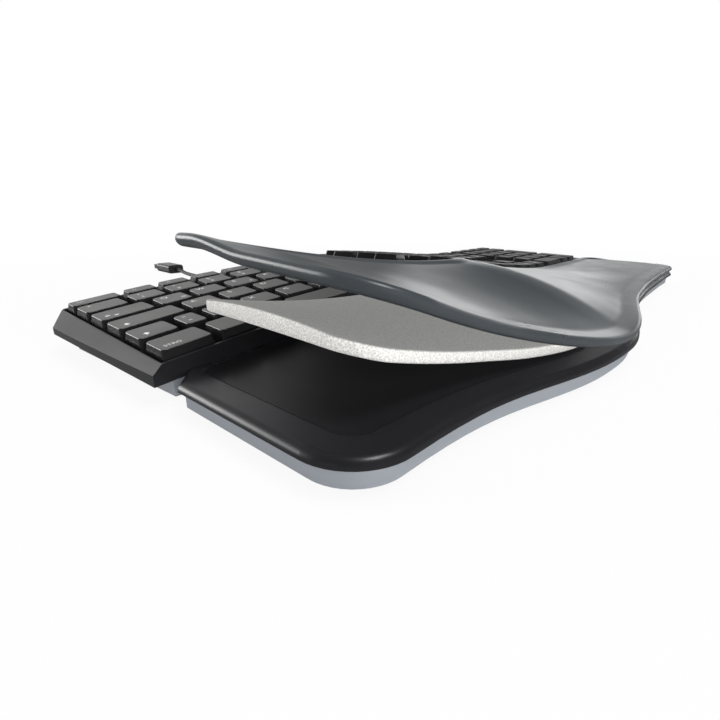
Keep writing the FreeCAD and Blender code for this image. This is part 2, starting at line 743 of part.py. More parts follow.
MIDDLE_STATIONS = [52.0, 68.0, 84.0, 100.0, 115.0, 130.0, 142.0, 150.0, 155.0, 160.0, 165.0, 170.0, 178.0, 190.0,
                   205.0, 225.0, 245.0, 265.0, 285.0, 300.0, 320.0, 345.0, 380.0]
TRAY_STATIONS = [6.0, 28.0] + MIDDLE_STATIONS + [436.0]


def rounded_reach(x, left, right, radius):
    """How far a rounded end pulls the front edge in at x."""
    near = min(x - left, right - x)
    if near >= radius:
        return 0.0
    return radius - math.sqrt(max(radius ** 2 - (radius - near) ** 2, 0.0))


def floor_places():
    """Stations of the tray's floor: x with its front and back edges."""
    places = []
    for x in TRAY_STATIONS:
        corner = rounded_reach(x, PALM_LEFT, PALM_RIGHT, PALM_CORNER)
        places.append((x, palm_front(x) + RIM_WIDTH - TRAY_LAP + corner, palm_back(x) - FLOOR_SETBACK))
    return places


def build_tray():
    outline = palm_outline(0.0, PALM_GAP)
    ring = prism(outline, BASE_TOP, RIM_TOP).cut(prism(palm_outline(RIM_WIDTH, PALM_GAP - 0.2), LOW, HIGH))
    outer_edges = []
    inner_edges = []
    for edge in ring.Edges:
        middle = edge.valueAt(0.5 * (edge.FirstParameter + edge.LastParameter))
        at_front = middle.y < palm_back(middle.x) - 1.0
        reach = 0.5 * RIM_WIDTH
        inside = (PALM_LEFT + reach < middle.x < PALM_RIGHT - reach
                  and middle.y > palm_front(middle.x) + reach)
        flat = abs(edge.BoundBox.ZMax - RIM_TOP) < 0.01 and edge.BoundBox.ZLength < 0.01
        if flat and at_front and not inside:
            outer_edges.append(edge)
        if flat and at_front and inside:
            inner_edges.append(edge)
    ring = ring.makeFillet(RIM_ROUNDING, outer_edges)
    tops = [edge for edge in ring.Edges
            if any((edge.CenterOfMass - inner.CenterOfMass).Length < 0.01 for inner in inner_edges)]
    ring = ring.makeFillet(RIM_INNER_ROUNDING, tops)
    floor = strip(floor_places(), lambda x, y: tray_floor(x, y) - TRAY_THICKNESS, tray_floor)
    bosses = []
    pilots = []
    for x, y in PALM_SCREWS:
        low = palm_boss_top(x, y)
        bosses.append(upright(x, y, BOSS_RADIUS, low, tray_floor(x, y) - 0.5 * TRAY_THICKNESS))
        pilots.append(upright(x, y, SCREW_RADIUS, LOW, tray_floor(x, y) - TRAY_THICKNESS + 0.6))
    return ring.multiFuse([floor] + bosses).cut(pilots)


def palm_boss_top(x, y):
    """Where the posts of the base meet those of the tray."""
    return 0.5 * (SHELL_BOTTOM + CASE_FLOOR + tray_floor(x, y) - TRAY_THICKNESS)


def build_palm_base():
    gap = PALM_GAP
    outer = prism(palm_outline(BASE_INSET, gap), SHELL_BOTTOM, BASE_TOP)
    inner = prism(palm_outline(BASE_INSET + BASE_WALL, gap + BASE_WALL), SHELL_BOTTOM + CASE_FLOOR, HIGH)
    room = strip(floor_places(), lambda x, y: tray_floor(x, y) - TRAY_THICKNESS - TRAY_FIT, tray_floor)
    shell = outer.cut(inner).cut(room)
    bosses = []
    cuts = []
    for x, y in PALM_SCREWS:
        bosses.append(upright(x, y, BOSS_RADIUS, SHELL_BOTTOM + 0.5 * CASE_FLOOR, palm_boss_top(x, y)))
        cuts.append(upright(x, y, SCREW_RADIUS + 0.1, LOW, HIGH))
        cuts.append(upright(x, y, SCREW_HEAD_RADIUS + 0.1, LOW, SHELL_BOTTOM + SCREW_HEAD_HEIGHT))
    for x in TILT_FEET_X:
        bosses.append(tilt_pocket(x, TILT_CHEEK))
        cuts.append(tilt_pocket(x, 0.0))
        cuts.append(tilt_pin(x))
    return shell.multiFuse(bosses).cut(cuts)


def tilt_pocket(x, wall):
    half = 0.5 * TILT_WIDTH + TILT_CLEARANCE + wall
    front = TILT_AXIS_Y - TILT_LENGTH - TILT_CLEARANCE - wall
    back = TILT_AXIS_Y + TILT_BARREL + TILT_CLEARANCE + wall
    top = TILT_AXIS_Z + TILT_BARREL + TILT_CLEARANCE + min(wall, 1.2)
    return Part.makeBox(2 * half, back - front, top - SHELL_BOTTOM, V(x - half, front, SHELL_BOTTOM))


def tilt_pin(x):
    length = TILT_WIDTH + 2 * TILT_CLEARANCE + 2 * 0.8 * TILT_CHEEK
    return Part.makeCylinder(TILT_PIN, length, V(x - 0.5 * length, TILT_AXIS_Y, TILT_AXIS_Z), V(1, 0, 0))


def tilt_foot(x):
    """Folding foot, lying flat in its pocket with its free end towards the user."""
    left = x - 0.5 * TILT_WIDTH
    barrel = Part.makeCylinder(TILT_BARREL, TILT_WIDTH, V(left, TILT_AXIS_Y, TILT_AXIS_Z), V(1, 0, 0))
    low = TILT_AXIS_Z - TILT_BARREL
    plate = Part.makeBox(TILT_WIDTH, TILT_LENGTH, TILT_THICKNESS, V(left, TILT_AXIS_Y - TILT_LENGTH, low))
    corners = [edge for edge in plate.Edges
               if edge.BoundBox.ZLength > 1.0 and edge.CenterOfMass.y < TILT_AXIS_Y - 1.0]
    plate = plate.makeFillet(4.0, corners)
    bore = Part.makeCylinder(TILT_PIN + TILT_RUN, TILT_WIDTH, V(left, TILT_AXIS_Y, TILT_AXIS_Z), V(1, 0, 0))
    grip = Part.makeBox(10.0, 1.2, 0.8, V(x - 5.0, TILT_AXIS_Y - TILT_LENGTH + 3.0, low))
    return barrel.fuse(plate).cut([bore, grip])


def soft_end(x, left, radius):
    """How far the rounded left end of a soft piece pulls its edges in."""
    near = x - left
    if near >= radius:
        return 0.0
    return radius - math.sqrt(max(radius ** 2 - (radius - near) ** 2, 0.0))


def foam_lift(x):
    share = max(PEEL_START - x, 0.0) / (PEEL_START - FOAM_LEFT)
    return FOAM_LIFT * share ** FOAM_BEND


def foam_edges(x):
    inset = RIM_WIDTH + FOAM_INSET
    front = palm_front(x) + inset + soft_end(x, FOAM_LEFT - 1.0, 14.0)
    back = palm_back(x) - FOAM_INSET - soft_end(x, FOAM_LEFT - 1.0, 6.0)
    pull = rounded_reach(x, PALM_LEFT, PALM_RIGHT - inset, PALM_CORNER)
    return front + (pull if x > BLOCK_WIDTH else 0.0), back


def foam_share(x, y):
    front, back = foam_edges(x)
    return min(max((y - front) / (back - front), 0.0), 1.0)


def foam_bottom(x, y):
    return tray_floor(x, y) + FOAM_CLEARANCE + foam_lift(x)


def foam_top(x, y):
    share = foam_share(x, y)
    crown = 4.0 * share * (1.0 - share)
    return foam_bottom(x, y) + FOAM_THICKNESS + FOAM_CROWN * crown


FOAM_STATIONS = [13.5, 15.0, 18.0, 22.0, 28.0, 38.0] + MIDDLE_STATIONS + [411.0, 417.0, 422.0, 426.0, 428.0]


def build_foam():
    places = [(x,) + foam_edges(x) for x in FOAM_STATIONS]
    return strip(places, foam_bottom, foam_top)


def cover_lift(x, share):
    peel = max(PEEL_START - x, 0.0) / (PEEL_START - COVER_LEFT)
    peel_back = max(PEEL_START_BACK - x, 0.0) / (PEEL_START_BACK - COVER_LEFT)
    front = COVER_LIFT_FRONT * peel ** COVER_BEND_FRONT
    back = COVER_LIFT_BACK * peel_back ** COVER_BEND_BACK
    return front + (back - front) * share


def cover_edges(x):
    front = palm_front(x) - 0.2 + soft_end(x, COVER_LEFT - 0.6, PALM_CORNER)
    back = palm_back(x) - 0.5 - soft_end(x, COVER_LEFT - 0.6, 5.0)
    pull = rounded_reach(x, PALM_LEFT, PALM_RIGHT, PALM_CORNER)
    return front + (pull if x > BLOCK_WIDTH else 0.0), back


def cover_points(x):
    """Corner points of the cover's section: a lip at the front, a skin that runs to the keys."""
    front, back = cover_edges(x)
    middle = 0.5 * (front + back)
    inner = front + COVER_LIP
    lip_low = RIM_TOP + COVER_CLEARANCE + cover_lift(x, 0.0)
    over_foam = FOAM_THICKNESS + FOAM_CLEARANCE + COVER_CLEARANCE
    under_front = max(tray_floor(x, inner) + over_foam, RIM_TOP + COVER_CLEARANCE + 0.8) + cover_lift(x, 0.0)
    under_middle = tray_floor(x, middle) + over_foam + FOAM_CROWN + 1.0 + cover_lift(x, 0.5)
    under_back = tray_floor(x, back) + over_foam + cover_lift(x, 1.0)
    return [V(x, front, lip_low), V(x, inner, lip_low), V(x, inner, under_front), V(x, middle, under_middle),
            V(x, back, under_back), V(x, back, under_back + COVER_THICKNESS),
            V(x, middle, under_middle + COVER_THICKNESS),
            V(x, front + 1.2, under_front + 0.7 * COVER_THICKNESS)]


def cover_section(x):
    points = cover_points(x)
    return Part.Wire([
        Part.makeLine(points[0], points[1]), Part.makeLine(points[1], points[2]),
        Part.Arc(points[2], points[3], points[4]).toShape(), Part.makeLine(points[4], points[5]),
        Part.Arc(points[5], points[6], points[7]).toShape(), Part.makeLine(points[7], points[0])])


COVER_STATIONS = [6.0, 8.0, 11.0, 15.0, 21.0, 28.0, 38.0] + MIDDLE_STATIONS + [422.0, 430.0, 436.0, 441.0]


def build_cover():
    return Part.makeLoft([cover_section(x) for x in COVER_STATIONS], True, True)


# Feet and fasteners

def build_foot_pads():
    return [upright(x, y, PAD_RADIUS, TABLE_Z, SHELL_BOTTOM) for x, y in CASE_PADS + PALM_PADS]


def screw(x, y, top):
    low = SHELL_BOTTOM + SCREW_HEAD_HEIGHT
    head = upright(x, y, SCREW_HEAD_RADIUS, low - 1.2, low)
    slot = Part.makeBox(3.2, 0.7, 0.6, V(x - 1.6, y - 0.35, low - 1.2))
    cross = Part.makeBox(0.7, 3.2, 0.6, V(x - 0.35, y - 1.6, low - 1.2))
    return head.fuse(upright(x, y, SCREW_RADIUS, low - 0.1, top)).cut([slot, cross])


def build_case_screws():
    return [screw(x, y, case_boss_top(x, y) + SCREW_BITE - 0.5) for x, y in CASE_SCREWS]


def build_palm_screws():
    return [screw(x, y, tray_floor(x, y) - TRAY_THICKNESS + 0.4) for x, y in PALM_SCREWS]


# Cord

def relief_core(extra):
    start = CORD_ROUTE[0][1] - RELIEF_LENGTH - 6.0
    return Part.makeCylinder(RELIEF_RADIUS - 0.8 + extra, 12.0, V(EXIT_X, start - 3.0, EXIT_Z), V(0, 1, 0))


def build_relief():
    """Boot with a collar on each side of the case wall, so that it can't pull out."""
    end = CORD_ROUTE[0][1]
    wall = end - RELIEF_LENGTH
    core = relief_core(0.0)
    boot = Part.makeCone(RELIEF_RADIUS, CORD_RADIUS + 0.9, RELIEF_LENGTH, V(EXIT_X, wall, EXIT_Z), V(0, 1, 0))
    return core.fuse(boot)


def fillet_route(points):
    """Straight runs joined by arcs as large as the runs allow; gives edges, length and radii."""
    corners = [V(*point) for point in points]
    edges = []
    radii = []
    length = 0.0
    start = corners[0]
    for before, corner, after in zip(corners, corners[1:], corners[2:]):
        run_in = corner - before
        run_out = after - corner
        shorter = min(run_in.Length, run_out.Length)
        turn = run_in.getAngle(run_out)
        cut = 0.45 * shorter
        radii.append(cut / math.tan(0.5 * turn))
        unit_in = V(run_in).normalize()
        unit_out = V(run_out).normalize()
        first = corner - unit_in * cut
        last = corner + unit_out * cut
        towards = (unit_out - unit_in).normalize()
        depth = radii[-1] * (1.0 / math.cos(0.5 * turn) - 1.0)
        middle = corner + towards * depth
        edges.append(Part.makeLine(start, first))
        edges.append(Part.Arc(first, middle, last).toShape())
        length += (first - start).Length + radii[-1] * turn
        start = last
    edges.append(Part.makeLine(start, corners[-1]))
    length += (corners[-1] - start).Length
    return edges, length, radii


def tube(edges, start, direction):
    ring = Part.Wire([Part.makeCircle(CORD_RADIUS, start, direction)])
    path = Part.Wire(edges)
    return path.makePipeShell([ring], True, False)


def build_run(route):
    edges, length, radii = fillet_route(route)
    start = V(*route[0])
    run = tube(edges, start, V(*route[1]) - start)
    section = math.pi * CORD_RADIUS ** 2
    print("run length", round(length, 1), "volume over section times length",
          round(run.Volume / (section * length), 4))
    print("run radii", [round(radius, 1) for radius in radii])
    return run, length


def coil_radius(turn):
    """Winds inwards over one layer and outwards over the next, rounded where it turns back."""
    width = 0.5 * COIL_COLUMNS * COIL_PITCH
    place = (turn % (2 * COIL_COLUMNS)) / COIL_COLUMNS
    return COIL_RADIUS + width * (1.0 - 2.0 * place if place < 1.0 else 2.0 * place - 3.0)


def coil_height(turn):
    """Climbs to the next layer near each place where the winding turns back."""
    height = 0.0
    for layer in range(1, COIL_LAYERS):
        share = (turn - layer * COIL_COLUMNS + COIL_CLIMB) / (2.0 * COIL_CLIMB)
        share = min(max(share, 0.0), 1.0)
        height += COIL_LAYER_RISE * share * share * (3.0 - 2.0 * share)
    return height


def coil_point(turn):
    """A point of the coil after a number of turns from the end of the cord's route."""
    outer = COIL_RADIUS + 0.5 * COIL_COLUMNS * COIL_PITCH
    x, y, z = CORD_ROUTE[-1]
    angle = math.pi - 2 * math.pi * turn
    radius = coil_radius(turn)
    return V(x + outer + radius * math.cos(angle), y + radius * math.sin(angle), z + coil_height(turn))


def coil_direction(turn, last):
    """Level and tangent to the cord's runs at both ends."""
    if turn <= 0.0 or turn >= last:
        return V(0, 1, 0)
    return (coil_point(turn + 0.02) - coil_point(turn - 0.02)).normalize()


def arc_from(start, direction, end):
    chord = end - start
    half = direction.getAngle(chord)
    along = V(chord).normalize()
    side = direction - along * direction.dot(along)
    middle = (start + end) * 0.5 + side.normalize() * 0.5 * chord.Length * math.tan(0.5 * half)
    return Part.Arc(start, middle, end).toShape()


def biarc(start, first, end, last):
    """Two arcs that meet smoothly, between two places with given directions."""
    span = end - start
    both = first + last
    spread = 2.0 * (1.0 - first.dot(last))
    along = span.dot(both)
    reach = (math.sqrt(along ** 2 + spread * span.dot(span)) - along) / spread
    joint = (start + first * reach + end - last * reach) * 0.5
    back = arc_from(end, last * -1.0, joint)
    middle = back.valueAt(0.5 * (back.FirstParameter + back.LastParameter))
    forward = Part.Arc(joint, middle, end).toShape()
    return [arc_from(start, first, joint), forward]


def build_coil():
    turns = COIL_LAYERS * COIL_COLUMNS
    quarters = 4 * turns
    edges = []
    for quarter in range(quarters):
        one = 0.25 * quarter
        other = one + 0.25
        edges += biarc(coil_point(one), coil_direction(one, turns), coil_point(other),
                       coil_direction(other, turns))
    coil = tube(edges, coil_point(0.0), V(0, 1, 0))
    length = sum(edge.Length for edge in edges)
    samples = []
    for edge in edges:
        samples += edge.discretize(7)[:-1]
    least = min((one - other).Length for position, one in enumerate(samples)
                for other in samples[position + 24:])
    print("coil length", round(length, 1), "least gap", round(least - 2 * CORD_RADIUS, 2),
          "volume share", round(coil.Volume / (math.pi * CORD_RADIUS ** 2 * length), 4))
    return coil, length


def build_plug():
    """Plug at the free end of the cord, along its last direction."""
    end = V(*FREE_END[-1])
    direction = end - V(*FREE_END[-2])
    side, height, length = PLUG_SIZE
    body = Part.makeBox(side, height, length, V(-0.5 * side, -0.5 * height, 0))
    upright_edges = [edge for edge in body.Edges if edge.BoundBox.ZLength > 1.0]
    body = body.makeFillet(2.5, upright_edges)
    wide, thick, reach = PLUG_SHELL
    shell = Part.makeBox(wide, thick, reach, V(-0.5 * wide, -0.5 * thick, length))
    room = Part.makeBox(wide - 0.8, thick - 0.8, reach, V(0.4 - 0.5 * wide, 0.4 - 0.5 * thick, length + 0.4))
    tongue = Part.makeBox(wide - 2.0, 1.8, reach - 1.0, V(1.0 - 0.5 * wide, 0.3 - 0.5 * thick, length + 0.2))
    plug = body.fuse(shell).cut(room).fuse(tongue)
    flat = V(direction.x, direction.y, 0).normalize()
    plug.Placement = FreeCAD.Placement(end, FreeCAD.Rotation(V(-flat.y, flat.x, 0), V(0, 0, 1), flat, "ZYX"))
    return plug


def as_list(shape):
    return shape if isinstance(shape, list) else [shape]


def write(name, shape):
    solids = []
    for piece in as_list(shape):
        solids += piece.Solids
    whole = Part.makeCompound(solids) if len(solids) > 1 else solids[0]
    whole.translate(-ORIGIN)
    bad = [index for index, solid in enumerate(solids) if not solid.isValid()]
    box = whole.BoundBox
    print(name, "solids", len(solids), "volume", round(whole.Volume), "invalid", bad,
          "box", [round(value, 1) for value in (box.XMin, box.XMax, box.YMin, box.YMax, box.ZMin, box.ZMax)])
    whole.exportStep("parts/" + name + ".step")


def main():
    keys = all_keys()
    for name, caps in build_keys(keys).items():
        write(name, caps)
    write("key_frame", build_frame(keys))
    write("key_plate", build_plate(keys))
    write("dome_sheet", build_dome_sheet(keys))
    write("contact_membrane", inner_sheet(membrane_drop(), MEMBRANE, []))
    write("backing_plate", inner_sheet(backing_drop(), BACKING, []))
    write("bottom_case", build_case())
    write("controller_board", build_board())
    write("lock_light_lenses", build_lights())
    write("palm_rest_tray", build_tray())
    write("palm_rest_base", build_palm_base())
    write("foam_pad", build_foam())
    write("palm_cover", build_cover())
    write("left_tilt_foot", tilt_foot(TILT_FEET_X[0]))
    write("right_tilt_foot", tilt_foot(TILT_FEET_X[1]))
    write("tilt_foot_pins", [tilt_pin(x) for x in TILT_FEET_X])
    write("rubber_feet", build_foot_pads())
    write("case_screws", build_case_screws())
    write("palm_rest_screws", build_palm_screws())
    write("strain_relief", build_relief())
    lead, lead_length = build_run(CORD_ROUTE)
    free, free_length = build_run(FREE_END)
    coil, coil_length = build_coil()
    print("whole cord", round(lead_length + coil_length + free_length))
    write("cord", Part.Compound([lead, free]))
    write("cord_coil", coil)
    write("usb_plug", build_plug())


main()
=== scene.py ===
import math

import bmesh
import bpy
from bpy.props import FloatProperty, FloatVectorProperty, IntProperty, PointerProperty
from bpy.types import Operator, Panel, PropertyGroup
from mathutils import Matrix, Vector


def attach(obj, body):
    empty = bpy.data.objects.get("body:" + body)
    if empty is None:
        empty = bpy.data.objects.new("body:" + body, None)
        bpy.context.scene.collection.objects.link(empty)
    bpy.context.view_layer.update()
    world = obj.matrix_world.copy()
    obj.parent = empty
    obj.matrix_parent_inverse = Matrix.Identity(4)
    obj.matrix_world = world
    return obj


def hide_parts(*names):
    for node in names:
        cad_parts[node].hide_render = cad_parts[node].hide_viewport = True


bl_info = {
    "name": "Curved keyboard with a peeled palm rest",
    "version": (1, 0, 0),
    "blender": (4, 5, 0),
    "location": "3D View > Sidebar > Keyboard",
    "description": "Dresses the keyboard's solids with legends, foam, soft cover, cord and finishes",
    "category": "Add Mesh",
}

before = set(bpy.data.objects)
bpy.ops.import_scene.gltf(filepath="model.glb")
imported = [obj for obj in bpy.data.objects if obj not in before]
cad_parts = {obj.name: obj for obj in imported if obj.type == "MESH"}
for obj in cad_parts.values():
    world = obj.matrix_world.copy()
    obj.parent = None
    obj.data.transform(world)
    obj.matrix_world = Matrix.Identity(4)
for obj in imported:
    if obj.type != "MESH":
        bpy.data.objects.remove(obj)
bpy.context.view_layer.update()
MM = 0.001
CASE = "case"


# Sizes and colours that a user would change

def colour(name, description, value):
    return FloatVectorProperty(name=name, description=description, subtype="COLOR", size=3, min=0.0,
                               max=1.0, default=value)


def length(name, description, value):
    """A length in millimetres."""
    return FloatProperty(name=name, description=description, default=value, min=0.0)


class KeyboardSizes(PropertyGroup):
    legend_height: length("Legend height", "Height of the printed letters, mm", 3.1)
    legend_lift: length("Legend lift", "Height of the ink above the key top, mm", 0.03)
    foam_thickness: length("Foam thickness", "Thickness of the foam pad at its edge, mm", 4.2)
    foam_crown: length("Foam crown", "Extra thickness in the middle of the pad, mm", 1.6)
    cover_thickness: length("Cover thickness", "Thickness of the soft cover inside its edge, mm", 2.4)
    cover_edge: length("Cover edge", "Thickness of the cover's rolled edge, mm", 4.3)
    cord_diameter: length("Cord diameter", "Outside of the cord's jacket, mm", 3.5)
    cord_sides: IntProperty(name="Cord sides", description="Sides of the cord's round section", default=6,
                            min=2, max=16)


class KeyboardColours(PropertyGroup):
    # The key top colour is painted light and the key side colour is painted shade: tops lighter, sides
    # near-black.
    key_top_painted_light: colour("Key top", "Worn satin top of a key", (0.075, 0.075, 0.073))
    key_side_painted_shade: colour("Key side", "Moulded side of a key", (0.010, 0.010, 0.011))
    shell: colour("Shell", "Black frame and tray", (0.013, 0.013, 0.015))
    case_grey: colour("Case", "Grey lower case", (0.33, 0.355, 0.39))
    # The foam top colour is painted shade, a darker grey than the bright cut edge of the same foam.
    foam_top_painted_shade: colour("Foam top", "Skin on the foam", (0.27, 0.27, 0.26))
    foam_side: colour("Foam side", "Cut edge of the foam", (0.80, 0.79, 0.76))
    cover: colour("Cover", "Soft cover", (0.047, 0.055, 0.061))
    legend: colour("Legend", "Printed legend", (0.82, 0.83, 0.84))
    backdrop: colour("Backdrop", "Floor and background", (1.0, 1.0, 1.0))


class KeyboardStage(PropertyGroup):
    lens: FloatProperty(name="Lens", description="Focal length", default=22.03, min=1.0, unit="CAMERA")
    key_light: FloatProperty(name="Front light", description="Power of the front softbox", default=16.0,
                             min=0.0, unit="POWER")
    top_light: FloatProperty(name="Top light", description="Power of the overhead softbox", default=11.0,
                             min=0.0, unit="POWER")
    back_light: FloatProperty(name="Back light", description="Power of the back softbox", default=2.0,
                              min=0.0, unit="POWER")
    room_front: FloatProperty(name="Room in front", description="Strength of the room's light in front",
                              default=0.05, min=0.0)
    room_back: FloatProperty(name="Room behind", description="Strength of the room's light behind",
                             default=1.1, min=0.0)
    horizon: FloatProperty(name="Pale walls", description="Strength of the pale band low round the room",
                           default=3.2, min=0.0)
    strip: FloatProperty(name="Bright strip", description="Strength of the low light behind on the left",
                         default=8.0, min=0.0)
    side_light: FloatProperty(name="Side light", description="Power of the small lamp on the left",
                              default=0.15, min=0.0, unit="POWER")
    rim_light: FloatProperty(name="Rim light", description="Power of the lamp over the palm rest's front",
                             default=5.5, min=0.0, unit="POWER")
    floor_gloss: FloatProperty(name="Floor in reflections", description="Brightness of the floor in gloss",
                               default=0.25, min=0.0, max=1.0)


# Layout of the keyboard in millimetres, the same as in the part's source

ORIGIN = Vector((217.5, -3.55, -20.0))
KEY_GAP = 4.3
KEY_PITCH = 19.0
KEY_TOP = KEY_PITCH - KEY_GAP
KEY_DEPTH = 14.2
FUNCTION_DEPTH = 9.4
FUNCTION_ROW_Y = 99.0
FUNCTION_WIDTH = 14.4
FIRST_ROW_Y = 7.1
BLOCK_WIDTH = 291.0
LEVEL_KEYS_X = 299.5
PAD_KEYS_X = LEVEL_KEYS_X + 3 * KEY_PITCH + 5.0
BEND_RATE = math.radians(0.16)
BEND_LIMIT = math.radians(13.0)
BEND_START = 20.0
TENT_WIDTH = 320.0
TENT_ROUNDING = 20.0
RIDGE_ROUNDING = 10.0
SLOPE_BACK = 0.0227
SLOPE_SIDE = 0.1126
TWIST = 0.013
TWIST_Y = 60.0


def to_frame(x, y, z):
    return (Vector((x, y, z)) - ORIGIN) * MM


def ramp(distance, rounding):
    """Distance where it is positive, running smoothly into zero."""
    return 0.5 * (distance + math.sqrt(distance * distance + rounding * rounding))


def tent(x):
    """How far in from the nearer end of the block, rounded over the ridge."""
    right = ramp(TENT_WIDTH - x, TENT_ROUNDING)
    return 0.5 * (x + right - math.sqrt((x - right) ** 2 + RIDGE_ROUNDING ** 2))


def deck(x, y):
    """Height of the surface that the key tops lie on."""
    inward = tent(x)
    twist = TWIST * (max(inward, 0.0) / 100.0) ** 3 * (TWIST_Y - y)
    return SLOPE_BACK * y + SLOPE_SIDE * inward + twist


def deck_normal(x, y):
    dx = 0.5 * (deck(x + 1.0, y) - deck(x - 1.0, y))
    dy = 0.5 * (deck(x, y + 1.0) - deck(x, y - 1.0))
    return Vector((-dx, -dy, 1.0)).normalized()


def heading(inward):
    """How far the rows are turned at a distance in from the block's end."""
    return min(BEND_LIMIT, max(0.0, BEND_RATE * (inward - BEND_START)))


def row_drop(inward):
    """How far the bend brings a row to the front."""
    full = BEND_START + BEND_LIMIT / BEND_RATE
    curved = min(max(inward - BEND_START, 0.0), full - BEND_START)
    return 0.5 * BEND_RATE * curved ** 2 + math.tan(BEND_LIMIT) * max(inward - full, 0.0)


def block_drop(x):
    return row_drop(min(x, BLOCK_WIDTH - x))


# Keys: node, width of its top and what is printed on it

LEFT_ROWS = [
    (0, [("left_ctrl_key", 19.8, "STRG"), ("left_super_key", KEY_TOP, ""),
         ("left_inner_keys", KEY_TOP, "ALT"), ("left_space_bar", 61.0, "")]),
    (1, [("left_shift_key", 15.8, "up"), ("angle_bracket_key", 8.6, "<"), ("y_key", KEY_TOP, "Y"),
         ("x_key", KEY_TOP, "X"), ("c_key", KEY_TOP, "C"), ("left_inner_keys", KEY_TOP, "V"),
         ("left_inner_keys", KEY_TOP, "B")]),
    (2, [("caps_lock_key", 28.8, "down"), ("a_key", KEY_TOP, "A"), ("s_key", KEY_TOP, "S"),
         ("d_key", KEY_TOP, "D"), ("f_key", KEY_TOP, "F"), ("left_inner_keys", KEY_TOP, "G")]),
    (3, [("tab_key", 23.5, "tab"), ("q_key", KEY_TOP, "Q"), ("w_key", KEY_TOP, "W"), ("e_key", KEY_TOP, "E"),
         ("r_key", KEY_TOP, "R"), ("t_key", KEY_TOP, "T")]),
    (4, [("caret_key", 19.0, "^"), ("one_key", KEY_TOP, "1"), ("two_key", KEY_TOP, "2"),
         ("three_key", KEY_TOP, "3"), ("four_key", KEY_TOP, "4"), ("five_key", KEY_TOP, "5"),
         ("left_inner_keys", KEY_TOP, "6")]),
    (5, [("escape_key", 22.4, "ESC")]
     + [("left_function_keys", FUNCTION_WIDTH, f"F{n}") for n in range(1, 6)]),
]
RIGHT_ROWS = [
    (0, [("right_bottom_keys", 24.2, "STRG"), ("right_bottom_keys", KEY_TOP, "="),
         ("right_bottom_keys", KEY_TOP, "FN"), ("right_bottom_keys", KEY_TOP, "ALT"),
         ("right_space_bar", 42.0, "")]),
    (1, [("right_lower_keys", 23.5, "up")]
     + [("right_lower_keys", KEY_TOP, mark) for mark in "-.,MN"]),
    (2, [("right_home_keys", 19.8, "left")]
     + [("right_home_keys", KEY_TOP, mark) for mark in "#ÖLKJH"]),
    (3, [("right_upper_keys", KEY_TOP, mark) for mark in "+ÜPOIUZ"]),
    (4, [("right_number_keys", 19.0, "left")]
     + [("right_number_keys", KEY_TOP, mark) for mark in "/?0987"]),
    (5, [("right_function_keys", FUNCTION_WIDTH, f"F{n}") for n in range(12, 5, -1)]),
]
# Level keys: node, left side of its field, column, row, columns and rows it spans, and its print
LEVEL_KEYS = [("arrow_keys", LEVEL_KEYS_X, column, row, 1, 1, mark) for column, row, mark in
              ((0, 0, "left"), (1, 0, "down"), (2, 0, "right"), (1, 1, "up"))]
LEVEL_KEYS += [("navigation_keys", LEVEL_KEYS_X, column, row, 1, 1, mark) for row, marks in
               ((3, ("DEL", "END", "down")), (4, ("INS", "HOME", "up")), (5, ("", "", "")))
               for column, mark in enumerate(marks)]
LEVEL_KEYS += [("number_pad_keys", PAD_KEYS_X, column, row, 1, 1, mark) for row, marks in
               ((1, "123"), (2, "456"), (3, "789"), (4, "N/*-"), (5, "    "))
               for column, mark in enumerate(marks)]
LEVEL_KEYS += [("number_pad_keys", PAD_KEYS_X) + place for place in
               ((0, 0, 2, 1, "0"), (2, 0, 1, 1, ","), (3, 0, 1, 2, "ENT"), (3, 2, 1, 2, "+"))]


def row_y(row):
    return FUNCTION_ROW_Y if row == 5 else FIRST_ROW_Y + row * KEY_PITCH


def key_list():
    """Every key: node, middle of its top, turn, width, depth and legend."""
    keys = []
    for rows, mirrored in ((LEFT_ROWS, False), (RIGHT_ROWS, True)):
        for row, names in rows:
            inward = 0.0
            y = row_y(row)
            depth = FUNCTION_DEPTH if row == 5 else KEY_DEPTH
            for node, width, mark in names:
                angle = heading(inward + 0.5 * width)
                inward += 0.5 * width * math.cos(angle)
                y -= 0.5 * width * math.sin(angle)
                x = BLOCK_WIDTH - inward if mirrored else inward
                keys.append((node, x, y, angle if mirrored else -angle, width, depth, mark))
                inward += (0.5 * width + KEY_GAP) * math.cos(angle)
                y -= (0.5 * width + KEY_GAP) * math.sin(angle)
    for node, left, column, row, columns, rows, mark in LEVEL_KEYS:
        width = columns * KEY_PITCH - KEY_GAP
        depth = FUNCTION_DEPTH if row == 5 else KEY_DEPTH + (rows - 1) * KEY_PITCH
        x = left + column * KEY_PITCH + 0.5 * width
        keys.append((node, x, row_y(row) + 0.5 * (rows - 1) * KEY_PITCH, 0.0, width, depth, mark))
    return keys


def key_matrix(x, y, angle):
    """Place of a key's top, in millimetres of the layout."""
    lean = Vector((0, 0, 1)).rotation_difference(deck_normal(x, y))
    turn = Matrix.Rotation(angle, 4, "Z")
    return Matrix.Translation(Vector((x, y, deck(x, y)))) @ lean.to_matrix().to_4x4() @ turn


# Palm rest: plan edges and lifts

PALM_FRONT = [(16.0, -96.0), (67.0, -100.0), (95.0, -107.0), (121.0, -112.6), (140.0, -114.6), (160.0, -115.0),
              (185.0, -111.8), (222.0, -103.4), (250.0, -97.6), (277.0, -94.2), (320.0, -90.6),
              (380.0, -88.6), (425.5, -88.0)]
PALM_GAP = 3.9
PEEL_START = 156.0
BACK_PEEL_START = 175.0
RIM_WIDTH = 12.5
RIM_SHOULDER = 3.0
RIM_TOP = -7.8
TRAY_FLOOR = -10.5


